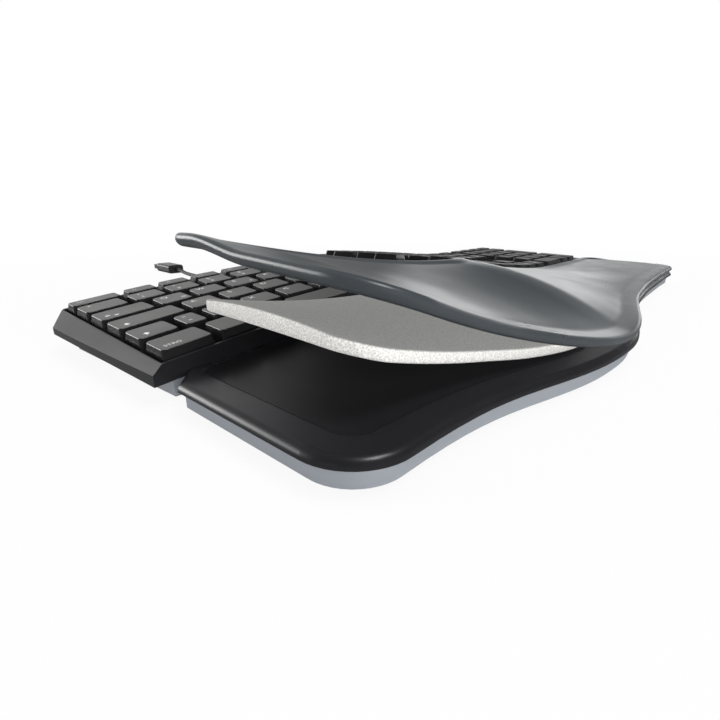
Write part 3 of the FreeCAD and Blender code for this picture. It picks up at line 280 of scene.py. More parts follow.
def smooth_through(points, x):
    """Cubic curve through listed points, level at its ends."""
    if x <= points[0][0]:
        return points[0][1]
    if x >= points[-1][0]:
        return points[-1][1]
    index = max(i for i in range(len(points) - 1) if points[i][0] <= x)
    slopes = []
    for i in (index, index + 1):
        if i in (0, len(points) - 1):
            slopes.append(0.0)
        else:
            slopes.append((points[i + 1][1] - points[i - 1][1]) / (points[i + 1][0] - points[i - 1][0]))
    (x0, y0), (x1, y1) = points[index], points[index + 1]
    width = x1 - x0
    t = (x - x0) / width
    return ((2 * t ** 3 - 3 * t ** 2 + 1) * y0 + (t ** 3 - 2 * t ** 2 + t) * width * slopes[0]
            + (3 * t ** 2 - 2 * t ** 3) * y1 + (t ** 3 - t ** 2) * width * slopes[1])


def palm_front(x):
    return smooth_through(PALM_FRONT, x)


def palm_back(x):
    return -block_drop(min(max(x, 0.0), BLOCK_WIDTH)) - PALM_GAP


def tray_floor(x, y):
    """Height of the tray's floor, which climbs from its front to the deck's height at its back."""
    front = palm_front(x) + RIM_WIDTH - RIM_SHOULDER
    back = palm_back(x)
    height = max(deck(x, back) - SLOPE_BACK * back, 0.0)
    share = min(max((y - front) / (back - front), 0.0), 1.0)
    return TRAY_FLOOR + height * share * (2.0 - share)


def smooth_step(value):
    t = min(max(value, 0.0), 1.0)
    return t * t * (3.0 - 2.0 * t)


# Mesh helpers

def new_object(name, mesh, body=CASE):
    piece = bpy.data.objects.new(name, mesh)
    bpy.context.scene.collection.objects.link(piece)
    if body:
        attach(piece, body)
    return piece


def mesh_from(name, vertices, faces, smooth=True):
    mesh = bpy.data.meshes.new(name)
    mesh.from_pydata([tuple(v) for v in vertices], [], faces)
    mesh.validate()
    mesh.polygons.foreach_set("use_smooth", [smooth] * len(mesh.polygons))
    mesh.update()
    return mesh


def spaced(count, crowding):
    """Shares from 0 to 1, closer together at both ends."""
    values = []
    for index in range(count + 1):
        t = index / count
        values.append(t - crowding * math.sin(2 * math.pi * t) / (2 * math.pi))
    return values


class Sheet:
    """A soft sheet over the palm rest: its plan edges, rounded corners and thickness."""

    def __init__(self, left, right, inset, corners):
        self.left = left
        self.right = right
        self.inset = inset
        self.corners = corners

    def raw_front(self, x):
        return palm_front(x) + self.inset

    def raw_back(self, x):
        return palm_back(x) - self.corners["gap"]

    def pull(self, x, radius_left, radius_right):
        """How far a rounded corner draws the edge in."""
        for near, radius in ((x - self.left, radius_left), (self.right - x, radius_right)):
            if near < radius:
                return radius - math.sqrt(max(radius ** 2 - (radius - near) ** 2, 0.0))
        return 0.0

    def edges(self, x):
        front = self.raw_front(x) + self.pull(x, self.corners["front_left"], self.corners["front_right"])
        back = self.raw_back(x) - self.pull(x, self.corners["back_left"], self.corners["back_right"])
        return front, back

    def depth(self, x, y):
        """Distance in from the nearest edge, round the corners too."""
        sides = ((x - self.left, "left"), (self.right - x, "right"))
        ends = ((y - self.raw_front(x), "front"), (self.raw_back(x) - y, "back"))
        nearest = min(min(s[0] for s in sides), min(e[0] for e in ends))
        for across, side in sides:
            for along, end in ends:
                radius = self.corners[end + "_" + side]
                if across < radius and along < radius:
                    corner = radius - math.hypot(radius - across, radius - along)
                    nearest = min(nearest, corner)
        return max(nearest, 0.0)


def sheet_mesh(name, sheet, middle, half, across, along, crowd):
    """Closed sheet: its middle surface in millimetres, and half its thickness at a depth from the edge."""
    xs = [sheet.left + (sheet.right - sheet.left) * share for share in spaced(across, crowd)]
    shares = spaced(along, crowd)
    vertices = []
    rows = len(shares)
    for side in (1.0, -1.0):
        for x in xs:
            front, back = sheet.edges(x)
            for share in shares:
                y = front + (back - front) * share
                border = share in (shares[0], shares[-1]) or x in (xs[0], xs[-1])
                depth = 0.0 if border else sheet.depth(x, y)
                vertices.append(to_frame(x, y, middle(x, y, depth) + side * half(x, y, depth)))
    columns = len(xs)
    count = columns * rows
    faces = []
    for i in range(columns - 1):
        for j in range(rows - 1):
            a = i * rows + j
            b = a + rows
            faces.append((a, b, b + 1, a + 1))
            faces.append((count + a, count + a + 1, count + b + 1, count + b))
    mesh = mesh_from(name, vertices, faces)
    work = bmesh.new()
    work.from_mesh(mesh)
    bmesh.ops.remove_doubles(work, verts=work.verts, dist=1e-6)
    bmesh.ops.recalc_face_normals(work, faces=work.faces)
    work.to_mesh(mesh)
    work.free()
    return mesh


# Shader node groups

def node_group(name, inputs, outputs):
    group = bpy.data.node_groups.new(name, "ShaderNodeTree")
    for label, kind, value in inputs:
        socket = group.interface.new_socket(name=label, in_out="INPUT", socket_type=kind)
        socket.default_value = value
    for label, kind in outputs:
        group.interface.new_socket(name=label, in_out="OUTPUT", socket_type=kind)
    return group, group.nodes.new("NodeGroupInput"), group.nodes.new("NodeGroupOutput")


def add(tree, kind, **values):
    node = tree.nodes.new(kind)
    for key, value in values.items():
        setattr(node, key, value)
    return node


def math_node(tree, operation, first, second=None, third=None, clamp=False):
    node = add(tree, "ShaderNodeMath", operation=operation, use_clamp=clamp)
    for index, value in enumerate((first, second, third)):
        if value is None:
            continue
        if isinstance(value, (int, float)):
            node.inputs[index].default_value = value
        else:
            tree.links.new(value, node.inputs[index])
    return node.outputs[0]


def mix_colour(tree, share, first, second):
    node = add(tree, "ShaderNodeMix", data_type="RGBA")
    for socket, value in ((node.inputs["Factor"], share), (node.inputs[6], first), (node.inputs[7], second)):
        if isinstance(value, (int, float)):
            socket.default_value = value
        elif isinstance(value, (tuple, list)):
            socket.default_value = tuple(value)[:3] + (1.0,)
        else:
            tree.links.new(value, socket)
    return node.outputs[2]


def noise(tree, position, scale, detail=3.0, roughness=0.6):
    node = add(tree, "ShaderNodeTexNoise")
    tree.links.new(position, node.inputs["Vector"])
    if isinstance(scale, (int, float)):
        node.inputs["Scale"].default_value = scale
    else:
        tree.links.new(scale, node.inputs["Scale"])
    node.inputs["Detail"].default_value = detail
    node.inputs["Roughness"].default_value = roughness
    return node.outputs["Fac"]


def build_grain_group():
    """Spark-eroded grain of moulded plastic, with faint patches from handling."""
    group, given, result = node_group(
        "moulded_grain",
        [("Grain Scale", "NodeSocketFloat", 2500.0), ("Roughness", "NodeSocketFloat", 0.45),
         ("Roughness Spread", "NodeSocketFloat", 0.1)],
        [("Height", "NodeSocketFloat"), ("Roughness", "NodeSocketFloat"), ("Patches", "NodeSocketFloat")])
    place = add(group, "ShaderNodeNewGeometry").outputs["Position"]
    fine = noise(group, place, given.outputs["Grain Scale"], 2.0)
    patches = noise(group, place, 45.0, 4.0)
    spread = math_node(group, "MULTIPLY", math_node(group, "SUBTRACT", patches, 0.5),
                       given.outputs["Roughness Spread"])
    rough = math_node(group, "ADD", given.outputs["Roughness"], math_node(group, "MULTIPLY", spread, 2.0),
                      clamp=True)
    group.links.new(fine, result.inputs["Height"])
    group.links.new(rough, result.inputs["Roughness"])
    group.links.new(patches, result.inputs["Patches"])
    return group


def build_top_group():
    """Mask that is 1 on faces that look up and 0 on sides."""
    group, given, result = node_group(
        "upward_mask", [("From", "NodeSocketFloat", 0.6), ("To", "NodeSocketFloat", 0.93)],
        [("Mask", "NodeSocketFloat")])
    split = add(group, "ShaderNodeSeparateXYZ")
    group.links.new(add(group, "ShaderNodeNewGeometry").outputs["Normal"], split.inputs[0])
    reach = add(group, "ShaderNodeMapRange", clamp=True)
    group.links.new(split.outputs["Z"], reach.inputs["Value"])
    group.links.new(given.outputs["From"], reach.inputs["From Min"])
    group.links.new(given.outputs["To"], reach.inputs["From Max"])
    group.links.new(reach.outputs["Result"], result.inputs["Mask"])
    return group


def build_speckle_group():
    """Open cells and loose fibres of cut foam, or the pores of a soft skin."""
    group, given, result = node_group(
        "cell_speckle", [("Cell Scale", "NodeSocketFloat", 900.0), ("Contrast", "NodeSocketFloat", 1.0)],
        [("Height", "NodeSocketFloat"), ("Speckle", "NodeSocketFloat")])
    place = add(group, "ShaderNodeNewGeometry").outputs["Position"]
    cells = add(group, "ShaderNodeTexVoronoi", feature="F1")
    group.links.new(place, cells.inputs["Vector"])
    group.links.new(given.outputs["Cell Scale"], cells.inputs["Scale"])
    grit = noise(group, place, math_node(group, "MULTIPLY", given.outputs["Cell Scale"], 1.7), 4.0, 0.75)
    both = math_node(group, "MULTIPLY", math_node(group, "ADD", cells.outputs["Distance"], grit), 0.6)
    spread = add(group, "ShaderNodeMapRange", clamp=True)
    group.links.new(both, spread.inputs["Value"])
    low = math_node(group, "SUBTRACT", 0.5, math_node(group, "DIVIDE", 0.35, given.outputs["Contrast"]))
    high = math_node(group, "ADD", 0.5, math_node(group, "DIVIDE", 0.35, given.outputs["Contrast"]))
    group.links.new(low, spread.inputs["From Min"])
    group.links.new(high, spread.inputs["From Max"])
    group.links.new(both, result.inputs["Height"])
    group.links.new(spread.outputs["Result"], result.inputs["Speckle"])
    return group


GROUPS = {}


def group_node(material, name):
    builders = {"moulded_grain": build_grain_group, "upward_mask": build_top_group,
                "cell_speckle": build_speckle_group}
    if name not in GROUPS:
        GROUPS[name] = builders[name]()
    node = material.node_tree.nodes.new("ShaderNodeGroup")
    node.node_tree = GROUPS[name]
    return node


def start_material(name, **values):
    material = bpy.data.materials.new(name)
    material.use_nodes = True
    shader = material.node_tree.nodes["Principled BSDF"]
    for label, value in values.items():
        shader.inputs[label.replace("_", " ")].default_value = value
    return material, material.node_tree, shader


def bump(tree, shader, height, strength, distance):
    node = add(tree, "ShaderNodeBump")
    node.inputs["Strength"].default_value = strength
    node.inputs["Distance"].default_value = distance
    tree.links.new(height, node.inputs["Height"])
    tree.links.new(node.outputs["Normal"], shader.inputs["Normal"])


def moulded(name, base, roughness, grain=2500.0, depth=0.00002, strength=0.25, spread=0.08, patches=0.12,
            **values):
    """Moulded plastic: fine grain, and colour and gloss that vary a little."""
    material, tree, shader = start_material(name, **values)
    surface = group_node(material, "moulded_grain")
    surface.inputs["Grain Scale"].default_value = grain
    surface.inputs["Roughness"].default_value = roughness
    surface.inputs["Roughness Spread"].default_value = spread
    darker = tuple(channel * (1.0 - patches) for channel in base)
    lighter = tuple(min(channel * (1.0 + patches), 1.0) for channel in base)
    tree.links.new(mix_colour(tree, surface.outputs["Patches"], darker, lighter), shader.inputs["Base Color"])
    tree.links.new(surface.outputs["Roughness"], shader.inputs["Roughness"])
    bump(tree, shader, surface.outputs["Height"], strength, depth)
    return material


def key_material(colours):
    """Key cap: satin top painted lighter than the sides as painted light, sides painted near-black as painted
    shade, with fine grain.
    """
    material, tree, shader = start_material("key_plastic", Specular_IOR_Level=0.5)
    surface = group_node(material, "moulded_grain")
    surface.inputs["Grain Scale"].default_value = 3200.0
    surface.inputs["Roughness"].default_value = 0.42
    surface.inputs["Roughness Spread"].default_value = 0.12
    top = group_node(material, "upward_mask")
    # Top colour painted lighter than the sides as painted light, varied by random patches.
    worn_top_with_painted_light = mix_colour(tree, surface.outputs["Patches"], tuple(0.85 * c for c in colours.key_top_painted_light),
                      tuple(1.15 * c for c in colours.key_top_painted_light))
    # Faces that look up take the painted-light top colour, sides take the painted-shade side colour.
    tree.links.new(mix_colour(tree, top.outputs["Mask"], tuple(colours.key_side_painted_shade), worn_top_with_painted_light),
                   shader.inputs["Base Color"])
    satin = math_node(tree, "MULTIPLY_ADD", top.outputs["Mask"], 0.18, -0.18)
    tree.links.new(math_node(tree, "ADD", surface.outputs["Roughness"], satin), shader.inputs["Roughness"])
    bump(tree, shader, surface.outputs["Height"], 0.3, 0.00002)
    return material


def foam_material(colours):
    """Foam with its top painted grey as painted shade, and bright open cells on its cut edge."""
    material, tree, shader = start_material("foam", Roughness=0.95, Specular_IOR_Level=0.15)
    top = group_node(material, "upward_mask")
    top.inputs["From"].default_value = 0.35
    top.inputs["To"].default_value = 0.8
    cells = group_node(material, "cell_speckle")
    cells.inputs["Cell Scale"].default_value = 1900.0
    cells.inputs["Contrast"].default_value = 1.4
    # The top is painted a darker grey than the cut edge as painted shade, with speckle.
    skin = mix_colour(tree, cells.outputs["Speckle"], tuple(0.75 * c for c in colours.foam_top_painted_shade),
                      tuple(1.25 * c for c in colours.foam_top_painted_shade))
    cut = mix_colour(tree, cells.outputs["Speckle"], tuple(0.55 * c for c in colours.foam_side),
                     tuple(min(1.16 * c, 0.95) for c in colours.foam_side))
    # Faces that look up take the painted-shade top colour, sides take the bright cut colour.
    tree.links.new(mix_colour(tree, top.outputs["Mask"], cut, skin), shader.inputs["Base Color"])
    bump(tree, shader, cells.outputs["Height"], 0.6, 0.0003)
    return material


def cover_material(colours):
    """Soft cover: smooth satin skin with fine pores and a faint sheen."""
    material, tree, shader = start_material("cover_skin", Specular_IOR_Level=0.5, Sheen_Weight=0.04,
                                            Sheen_Roughness=0.4)
    surface = group_node(material, "moulded_grain")
    surface.inputs["Grain Scale"].default_value = 1500.0
    surface.inputs["Roughness"].default_value = 0.30
    surface.inputs["Roughness Spread"].default_value = 0.07
    pores = group_node(material, "cell_speckle")
    pores.inputs["Cell Scale"].default_value = 1700.0
    skin = mix_colour(tree, surface.outputs["Patches"], tuple(0.92 * c for c in colours.cover),
                      tuple(1.08 * c for c in colours.cover))
    tree.links.new(skin, shader.inputs["Base Color"])
    tree.links.new(surface.outputs["Roughness"], shader.inputs["Roughness"])
    height = math_node(tree, "ADD", pores.outputs["Height"], surface.outputs["Height"])
    bump(tree, shader, height, 0.05, 0.00004)
    return material


def metal_material(name, base, roughness):
    """Plated or rolled metal with fine drawn lines."""
    material, tree, shader = start_material(name, Metallic=1.0)
    place = add(tree, "ShaderNodeNewGeometry").outputs["Position"]
    stretch = add(tree, "ShaderNodeMapping")
    stretch.inputs["Scale"].default_value = (30.0, 1500.0, 1500.0)
    tree.links.new(place, stretch.inputs["Vector"])
    lines = noise(tree, stretch.outputs["Vector"], 1.0, 3.0)
    shade = mix_colour(tree, lines, tuple(0.8 * c for c in base), tuple(min(1.15 * c, 1.0) for c in base))
    tree.links.new(shade, shader.inputs["Base Color"])
    rough = math_node(tree, "ADD", math_node(tree, "MULTIPLY", lines, 0.15), roughness)
    tree.links.new(rough, shader.inputs["Roughness"])
    bump(tree, shader, lines, 0.15, 0.00002)
    return material


def assign(node, material):
    """Gives a CAD node one material in place of what it has."""
    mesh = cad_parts[node].data
    mesh.materials.clear()
    mesh.materials.append(material)


# Operators: one for each piece or group of like pieces

CAMERA_PLACE = (-62.3, -150.7, 47.8)
CAMERA_PITCH = 70.845
CAMERA_YAW = -47.71


class KEYBOARD_OT_camera(Operator):
    """Places the camera at the photograph's viewpoint"""
    bl_idname = "keyboard.camera"
    bl_label = "Add the camera"

    def execute(self, context):
        data = bpy.data.cameras.new("view")
        data.sensor_width = 36.0
        data.lens = context.scene.keyboard_stage.lens
        data.clip_start = 0.01
        camera = bpy.data.objects.new("view", data)
        camera.location = to_frame(*CAMERA_PLACE)
        camera.rotation_euler = (math.radians(CAMERA_PITCH), 0.0, math.radians(CAMERA_YAW))
        context.scene.collection.objects.link(camera)
        context.scene.camera = camera
        return {"FINISHED"}


CORD_FLOOR = -18.2
CORD_ROUTE = [
    (155.0, 113.0, -8.0), (155.0, 127.0, -8.0), (155.0, 147.0, CORD_FLOOR), (155.0, 171.0, CORD_FLOOR),
]
COIL_LAYERS = 4
COIL_COLUMNS = 3
COIL_RADIUS = 21.0
COIL_PITCH = 4.1
COIL_RISE = 4.0
COIL_STEPS = 16
COIL_TOP = CORD_FLOOR + (COIL_LAYERS - 1) * COIL_RISE
PLUG_Z = -15.65
FREE_END = [
    (155.0, 171.0, COIL_TOP), (155.0, 184.0, COIL_TOP), (156.2, 216.0, CORD_FLOOR), (158.2, 262.0, CORD_FLOOR),
    (159.6, 296.0, CORD_FLOOR), (160.3, 312.0, PLUG_Z), (160.6, 321.0, PLUG_Z),
]


def coil_place(turn):
    """Place on the coil: three turns to a layer, wound inwards and then outwards."""
    width = 0.5 * COIL_COLUMNS * COIL_PITCH
    place = (turn % (2.0 * COIL_COLUMNS)) / COIL_COLUMNS
    radius = COIL_RADIUS + width * (1.0 - 2.0 * place if place < 1.0 else 2.0 * place - 3.0)
    height = sum(COIL_RISE * smooth_step((turn - COIL_COLUMNS * layer) / 0.5 + 0.5)
                 for layer in range(1, COIL_LAYERS))
    radius /= 0.25 * (3.0 + math.cos(2.0 * math.pi / COIL_STEPS))
    angle = math.pi - 2.0 * math.pi * turn
    x, y, z = CORD_ROUTE[-1]
    return (x + COIL_RADIUS + width + radius * math.cos(angle), y + radius * math.sin(angle), z + height)


class KEYBOARD_OT_cord(Operator):
    """Lays the cord, with its spare length in a coil behind the keyboard"""
    bl_idname = "keyboard.cord"
    bl_label = "Add the cord"

    def execute(self, context):
        sizes = context.scene.keyboard_sizes
        places = list(CORD_ROUTE)
        steps = COIL_LAYERS * COIL_COLUMNS * COIL_STEPS
        places += [coil_place((step + 0.5) / COIL_STEPS) for step in range(steps)]
        places += FREE_END
        curve = bpy.data.curves.new("cord", "CURVE")
        curve.dimensions = "3D"
        spline = curve.splines.new("NURBS")
        spline.points.add(len(places) - 1)
        for point, place in zip(spline.points, places):
            point.co = (*to_frame(*place), 1.0)
        spline.order_u = 3
        spline.use_endpoint_u = True
        spline.resolution_u = 8
        curve.bevel_depth = 0.5 * sizes.cord_diameter * MM
        curve.bevel_resolution = sizes.cord_sides
        curve.use_fill_caps = True
        jacket = moulded("cord_jacket", (0.015, 0.015, 0.016), 0.5, grain=1800.0)
        curve.materials.append(jacket)
        piece = bpy.data.objects.new("cord", curve)
        context.scene.collection.objects.link(piece)
        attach(piece, CASE)
        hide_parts("cord", "cord_coil")
        assign("strain_relief", jacket)
        assign("usb_plug", moulded("plug_plastic", (0.02, 0.02, 0.021), 0.4))
        return {"FINISHED"}


class KEYBOARD_OT_key_caps(Operator):
    """Gives the key caps their satin plastic and prints the legends"""
    bl_idname = "keyboard.key_caps"
    bl_label = "Dress the keys"

    def execute(self, context):
        sizes = context.scene.keyboard_sizes
        colours = context.scene.keyboard_colours
        plastic = key_material(colours)
        ink = moulded("legend_ink", tuple(colours.legend), 0.5, grain=4000.0, strength=0.1, patches=0.06)
        keys = key_list()
        for node in sorted({key[0] for key in keys}):
            assign(node, plastic)
        marks = {}
        for node, x, y, angle, width, depth, mark in keys:
            if mark.strip():
                marks.setdefault(node, []).append((x, y, angle, width, depth, mark))
        for node, printed in marks.items():
            work = bmesh.new()
            for x, y, angle, width, depth, mark in printed:
                place = key_matrix(x, y, angle)
                place = Matrix.Scale(MM, 4) @ Matrix.Translation(-ORIGIN) @ place
                for label, across, along, height in legend_marks(mark, width, depth, sizes.legend_height):
                    piece = legend_mesh(label, height)
                    lift = Vector((across, along, sizes.legend_lift))
                    piece.transform(place @ Matrix.Translation(lift))
                    work.from_mesh(piece)
                    bpy.data.meshes.remove(piece)
            mesh = bpy.data.meshes.new("legends_" + node)
            work.to_mesh(mesh)
            work.free()
            mesh.materials.append(ink)
            piece = new_object("legends_" + node, mesh, node + "_body")
        return {"FINISHED"}


SHIFTED = dict(zip("1234567890", "!\"\u00a7$%&/()="))
SECOND = {"Q": "@", "E": "\u20ac", "+": "~"}
ARROWS = ("up", "down", "left", "right", "tab")
ARROW_SHAPE = [(-0.5, 0.0), (0.0, 0.55), (0.5, 0.0), (0.22, 0.0), (0.22, -0.5), (-0.22, -0.5), (-0.22, 0.0)]
ARROW_TURNS = {"up": 0.0, "left": 90.0, "down": 180.0, "right": -90.0}
LEGEND_ACROSS = 0.31
LEGEND_ALONG = 0.71
TYPE_SIZE = 1.37


def legend_marks(mark, width, depth, height):
    """What is printed for one legend: text or arrow, place on the key top and height."""
    left = LEGEND_ACROSS * KEY_TOP - 0.5 * width
    if depth <= FUNCTION_DEPTH:
        return [(mark, left, 0.0, 0.5 * height)]
    high = (LEGEND_ALONG - 0.5) * KEY_DEPTH
    low = -high
    if mark == "tab":
        return [("left", left - 0.6, low + 0.9, 0.7 * height), ("right", left + 2.8, low - 0.9, 0.7 * height)]
    if mark in ARROWS:
        return [(mark, left, low, 0.9 * height)]
    if len(mark) > 1:
        return [(mark, left + 1.1, low - 0.6, 0.68 * height)]
    if mark in SHIFTED and width < 20.0:
        return [(SHIFTED[mark], left, high, height), (mark, left, low, height)]
    if mark == "<":
        return [(">", -1.2, high, 0.8 * height), ("<", -1.2, low, 0.8 * height)]
    marks = [(mark, left, high, height)]
    if mark in SECOND:
        marks.append((SECOND[mark], LEGEND_ACROSS * width, low, 0.7 * height))
    return marks


def legend_mesh(mark, height):
    """Flat mesh of one printed mark in millimetres, its middle at the origin."""
    if mark in ARROWS:
        turn = Matrix.Rotation(math.radians(ARROW_TURNS[mark]), 4, "Z")
        vertices = [turn @ Vector((x, y, 0.0)) * height for x, y in ARROW_SHAPE]
        mesh = bpy.data.meshes.new("mark")
        work = bmesh.new()
        corners = [work.verts.new(vertex) for vertex in vertices]
        face = work.faces.new(corners)
        face.normal_update()
        if face.normal.z < 0.0:
            face.normal_flip()
        bmesh.ops.triangulate(work, faces=[face])
        work.to_mesh(mesh)
        work.free()
        return mesh
    text = bpy.data.curves.new("mark", "FONT")
    text.body = mark
    text.size = TYPE_SIZE * height
    text.align_x = "CENTER"
    text.align_y = "CENTER"
    text.resolution_u = 3
    holder = bpy.data.objects.new("mark", text)
    bpy.context.scene.collection.objects.link(holder)
    bpy.context.view_layer.update()
    mesh = bpy.data.meshes.new_from_object(holder.evaluated_get(bpy.context.evaluated_depsgraph_get()))
    bpy.data.objects.remove(holder)
    bpy.data.curves.remove(text)
    return mesh


class KEYBOARD_OT_shell(Operator):
    """Finishes the frame, the tray, the lower case and the palm rest's base"""
    bl_idname = "keyboard.shell"
    bl_label = "Finish the shells"

    def execute(self, context):
        colours = context.scene.keyboard_colours
        shell = moulded("frame_plastic", tuple(colours.shell), 0.38, grain=2600.0, spread=0.1)
        tray = moulded("tray_plastic", tuple(colours.shell), 0.33, grain=2200.0, spread=0.08)
        grey = moulded("case_plastic", tuple(colours.case_grey), 0.42, grain=2400.0, spread=0.06, patches=0.05)
        assign("key_frame", shell)
        assign("palm_rest_tray", tray)
        for node in ("bottom_case", "palm_rest_base"):
            assign(node, grey)
        foot = moulded("foot_plastic", (0.02, 0.02, 0.022), 0.45)
        for node in ("left_tilt_foot", "right_tilt_foot"):
            assign(node, foot)
        return {"FINISHED"}


class KEYBOARD_OT_inside(Operator):
    """Finishes the pieces under the keys, the feet and the screws"""
    bl_idname = "keyboard.inside"
    bl_label = "Finish the inside"

    def execute(self, context):
        assign("key_plate", moulded("plate_plastic", (0.012, 0.012, 0.013), 0.55))
        assign("dome_sheet", moulded("dome_rubber", (0.55, 0.55, 0.52), 0.6, Transmission_Weight=0.2))
        assign("contact_membrane", moulded("membrane_film", (0.6, 0.66, 0.62), 0.25))
        assign("backing_plate", metal_material("backing_steel", (0.55, 0.56, 0.57), 0.3))
        assign("controller_board", moulded("board", (0.02, 0.11, 0.05), 0.35))
        assign("lock_light_lenses", moulded("lens_plastic", (0.5, 0.54, 0.54), 0.15))
        assign("rubber_feet", moulded("pad_rubber", (0.015, 0.015, 0.015), 0.75, grain=1500.0))
        steel = metal_material("screw_steel", (0.35, 0.35, 0.36), 0.3)
        for node in ("case_screws", "palm_rest_screws", "tilt_foot_pins"):
            assign(node, steel)
        return {"FINISHED"}


FOAM_LEFT = 13.5
FOAM_RIGHT = 428.0
FOAM_LIFT = 22.0
FOAM_BEND = 2.2
FOAM_GAP = 1.2
FOAM_CLEARANCE = 0.35
FOAM_EDGE = 1.3
FOAM_SQUARENESS = 3.5
FOAM_CORNERS = {"gap": FOAM_GAP, "front_left": 13.0, "front_right": 9.0, "back_left": 6.0, "back_right": 5.0}


def bent(x, start, left, lift, bend):
    """Lift of a sheet that is bent up from start to its left end."""
    return lift * (max(start - x, 0.0) / (start - left)) ** bend


def bulge(share):
    """Rises from 0 at the front edge to 1 in the middle and falls to 0 at the back."""
    return 4.0 * share * (1.0 - share)


class KEYBOARD_OT_foam(Operator):
    """Builds the foam pad, curling up at its left end"""
    bl_idname = "keyboard.foam"
    bl_label = "Add the foam pad"

    def execute(self, context):
        sizes = context.scene.keyboard_sizes
        sheet = Sheet(FOAM_LEFT, FOAM_RIGHT, RIM_WIDTH + FOAM_GAP, FOAM_CORNERS)

        def thickness(x, y):
            front, back = sheet.edges(x)
            return sizes.foam_thickness + sizes.foam_crown * bulge((y - front) / (back - front))

        def middle(x, y, depth):
            lift = bent(x, PEEL_START, FOAM_LEFT, FOAM_LIFT, FOAM_BEND)
            return tray_floor(x, y) + FOAM_CLEARANCE + lift + 0.5 * thickness(x, y)

        def half(x, y, depth):
            near = 1.0 - min(depth / FOAM_EDGE, 1.0)
            return 0.5 * thickness(x, y) * (1.0 - near ** FOAM_SQUARENESS) ** (1.0 / FOAM_SQUARENESS)

        mesh = sheet_mesh("foam", sheet, middle, half, across=190, along=80, crowd=0.93)
        mesh.materials.append(foam_material(context.scene.keyboard_colours))
        piece = new_object("foam", mesh)
        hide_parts("foam_pad")
        piece.visible_glossy = False
        return {"FINISHED"}


COVER_LEFT = 6.0
COVER_RIGHT = 444.0
COVER_INSET = 0.2
COVER_CORNERS = {"gap": 0.6, "front_left": 20.0, "front_right": 19.0, "back_left": 5.0, "back_right": 2.0}
COVER_CROWN = 1.6
COVER_HEIGHT = 4.9
COVER_CLEARANCE = 0.4
ROLL_WIDTH = 13.0
LIP_FLAT = 3.0
LIP_TAPER = 9.0


def cover_lift(x, share):
    front = bent(x, PEEL_START, COVER_LEFT, 38.0, 1.6)
    back = bent(x, BACK_PEEL_START, COVER_LEFT, 42.0, 1.3)
    return front + (back - front) * share


class KEYBOARD_OT_cover(Operator):
    """Builds the soft cover with its rolled edge, lifted at its left end"""
    bl_idname = "keyboard.cover"
    bl_label = "Add the cover"

    def execute(self, context):
        sizes = context.scene.keyboard_sizes
        sheet = Sheet(COVER_LEFT, COVER_RIGHT, COVER_INSET, COVER_CORNERS)
        lip = 0.5 * sizes.cover_edge
        body = 0.5 * sizes.cover_thickness

        def middle(x, y, depth):
            front, back = sheet.edges(x)
            share = (y - front) / (back - front)
            inner = tray_floor(x, y) + COVER_HEIGHT + body + COVER_CROWN * bulge(share)
            edge = RIM_TOP + COVER_CLEARANCE + lip
            rolled = (1.0 - smooth_step(depth / ROLL_WIDTH)) * (1.0 - smooth_step((share - 0.5) / 0.4))
            return inner + (edge - inner) * rolled + cover_lift(x, share)

        def half(x, y, depth):
            near = 1.0 - min(depth / lip, 1.0)
            edge = lip * math.sqrt(max(1.0 - near * near, 0.0))
            if depth <= LIP_FLAT:
                return edge
            return body + (edge - body) * (1.0 - smooth_step((depth - LIP_FLAT) / LIP_TAPER))

        mesh = sheet_mesh("cover", sheet, middle, half, across=190, along=84, crowd=0.92)
        mesh.materials.append(cover_material(context.scene.keyboard_colours))
        piece = new_object("cover", mesh)
        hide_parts("palm_cover")
        piece.visible_shadow = False
        piece.visible_glossy = False
        return {"FINISHED"}


def soft_light(name, place, aim, size, power, mirrored=True):
    """Adds a softbox; one that isn't mirrored lights the object without showing in its gloss."""
    data = bpy.data.lights.new(name, "AREA")
    data.shape = "RECTANGLE"
    data.size, data.size_y = size
    data.energy = power
    light = bpy.data.objects.new(name, data)
    light.visible_glossy = mirrored
    light.location = place
    light.rotation_euler = (Vector(aim) - Vector(place)).to_track_quat("-Z", "Y").to_euler()
    bpy.context.scene.collection.objects.link(light)


def fade(tree, value, low, high, first, last):
    """Value that passes smoothly from first, below low, to last, above high."""
    reach = add(tree, "ShaderNodeMapRange", clamp=True, interpolation_type="SMOOTHSTEP")
    tree.links.new(value, reach.inputs["Value"])
    reach.inputs["From Min"].default_value = low
    reach.inputs["From Max"].default_value = high
    reach.inputs["To Min"].default_value = first
    reach.inputs["To Max"].default_value = last
    return reach.outputs["Result"]


def facing(tree, direction, aim, low, high, away, toward):
    """Strength that rises smoothly as a direction turns towards aim."""
    dot = add(tree, "ShaderNodeVectorMath", operation="DOT_PRODUCT")
    tree.links.new(direction, dot.inputs[0])
    dot.inputs[1].default_value = Vector(aim).normalized()
    return fade(tree, dot.outputs["Value"], low, high, away, toward)


